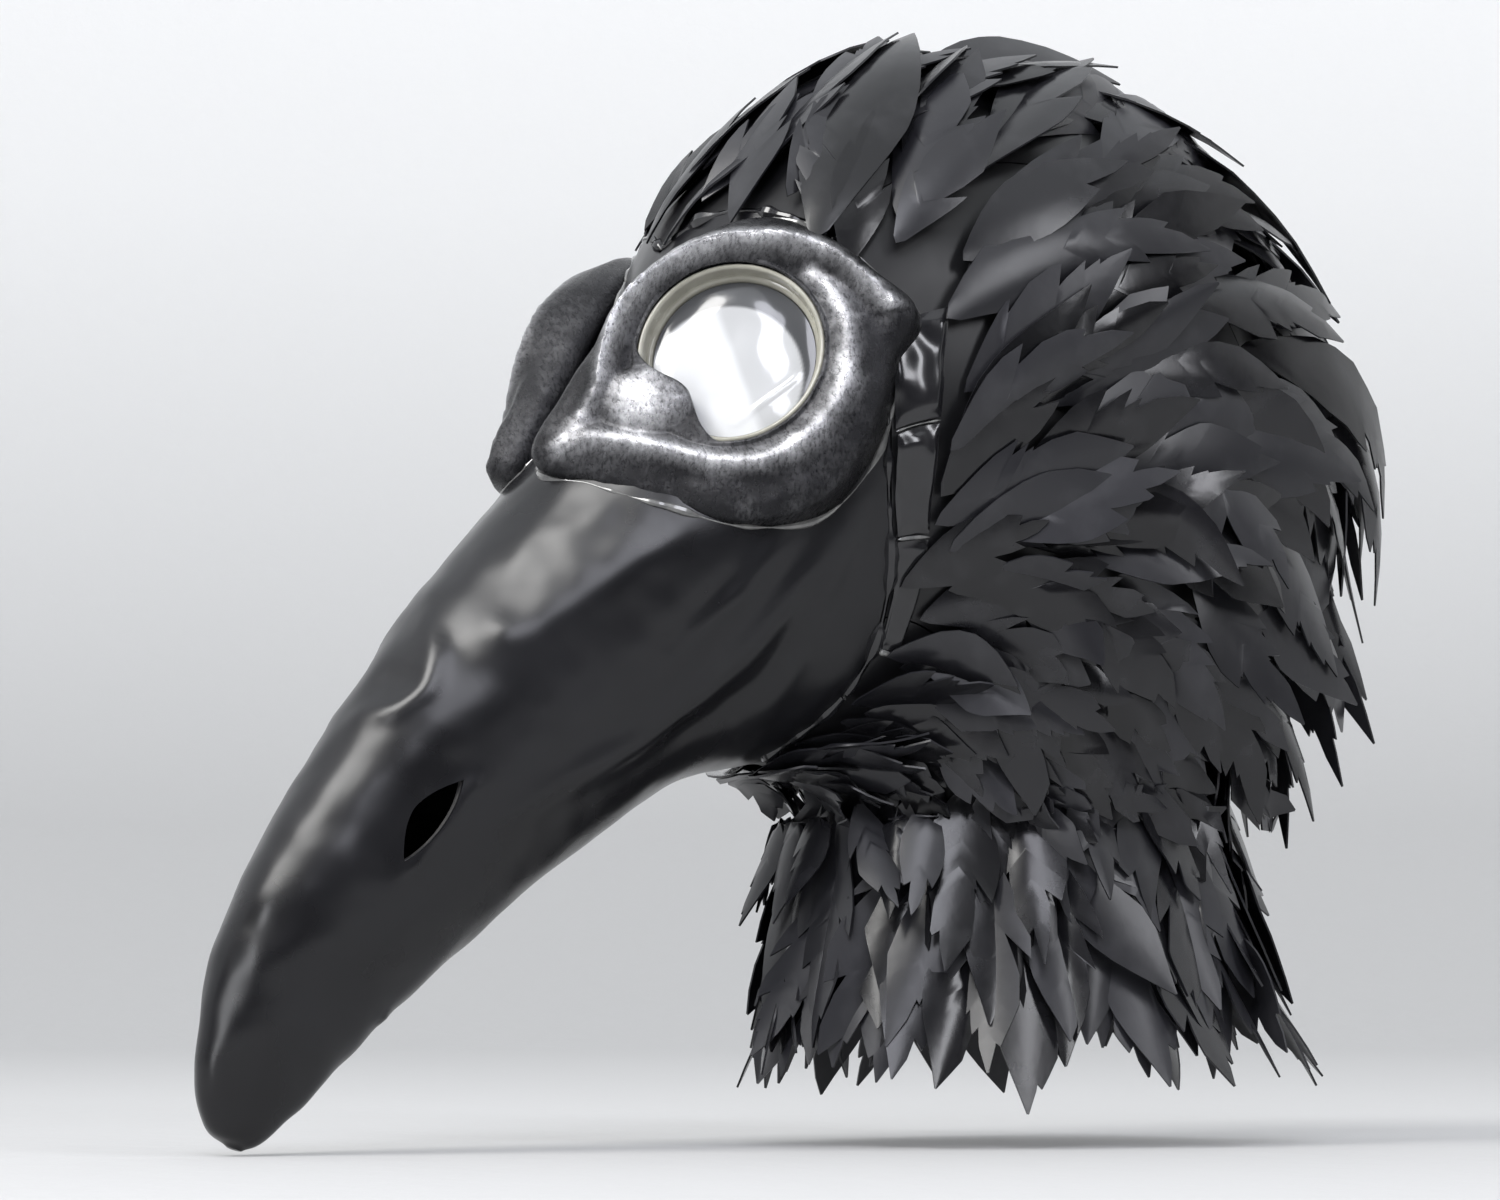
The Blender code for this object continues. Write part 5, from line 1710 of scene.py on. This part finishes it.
def make_lights():
    """A big light above the beak side, a low strip, two soft lights on the left and a pale sky."""
    for row in LIGHTS:
        add_area(*row)
    world = bpy.data.worlds.new("pale_sky")
    world.use_nodes = True
    background = world.node_tree.nodes["Background"]
    background.inputs["Color"].default_value = (0.93, 0.96, 1.0, 1.0)
    background.inputs["Strength"].default_value = 1.0
    bpy.context.scene.world = world
    bpy.context.scene.view_settings.view_transform = "Standard"


def make_camera():
    """The camera at the viewing angle of the wearer's left, a little below eye level."""
    back = Vector((
        sin(CAMERA_AZIMUTH) * cos(CAMERA_ELEVATION),
        -cos(CAMERA_AZIMUTH) * cos(CAMERA_ELEVATION),
        sin(CAMERA_ELEVATION),
    ))
    lens = bpy.data.cameras.new("camera")
    lens.lens = CAMERA_LENS
    lens.clip_start = 0.05
    camera = bpy.data.objects.new("camera", lens)
    camera.location = CAMERA_AIM + back * CAMERA_DISTANCE
    camera.rotation_euler = back.to_track_quat("Z", "Y").to_euler()
    bpy.context.scene.collection.objects.link(camera)
    bpy.context.scene.camera = camera


# ---------------------------------------------------------------- assembly
def build():
    """Everything, in order."""
    make_camera()
    make_stage()
    make_lights()
    vinyl = make_vinyl("black_vinyl", (0.005, 0.005, 0.006), (0.010, 0.010, 0.012), (0.24, 0.36))
    gloss = make_vinyl("gloss_vinyl", (0.008, 0.008, 0.009), (0.016, 0.016, 0.018), (0.10, 0.22), 0.0008, 0.5)
    hood = make_vinyl("hood_sheet", (0.005, 0.005, 0.006), (0.010, 0.010, 0.011), (0.28, 0.46))
    cream = make_cream("cream_plastic", (0.26, 0.25, 0.205), (0.40, 0.39, 0.33), (0.16, 0.30))
    pewter = make_pewter()
    former = make_former()
    hazy = make_lens_finish()
    feathers = make_feather_finish()
    foam = make_foam()
    nickel = make_metal("nickel", (0.56, 0.55, 0.53), (0.72, 0.71, 0.69), (0.18, 0.34))
    keeper = make_vinyl("slider_plastic", (0.012, 0.012, 0.013), (0.022, 0.022, 0.024), (0.34, 0.50))
    make_beak(vinyl, former)
    for side, name in LEFT_AND_RIGHT:
        make_surround(side, name, pewter)
        make_ring(side, name, cream)
        make_lens(side, name, hazy)
        make_retainer(side, name, cream)
    make_hood(hood)
    make_patches(gloss)
    make_feathers(feathers)
    make_tip_core(former)
    for name, node, arc, turns, thickness in PADS:
        make_pad(name, node, arc, turns, thickness, foam)
    make_strap(make_webbing(), former, nickel, keeper)
    make_seam_beads(gloss)
    make_glue_beads(make_glue())


build()
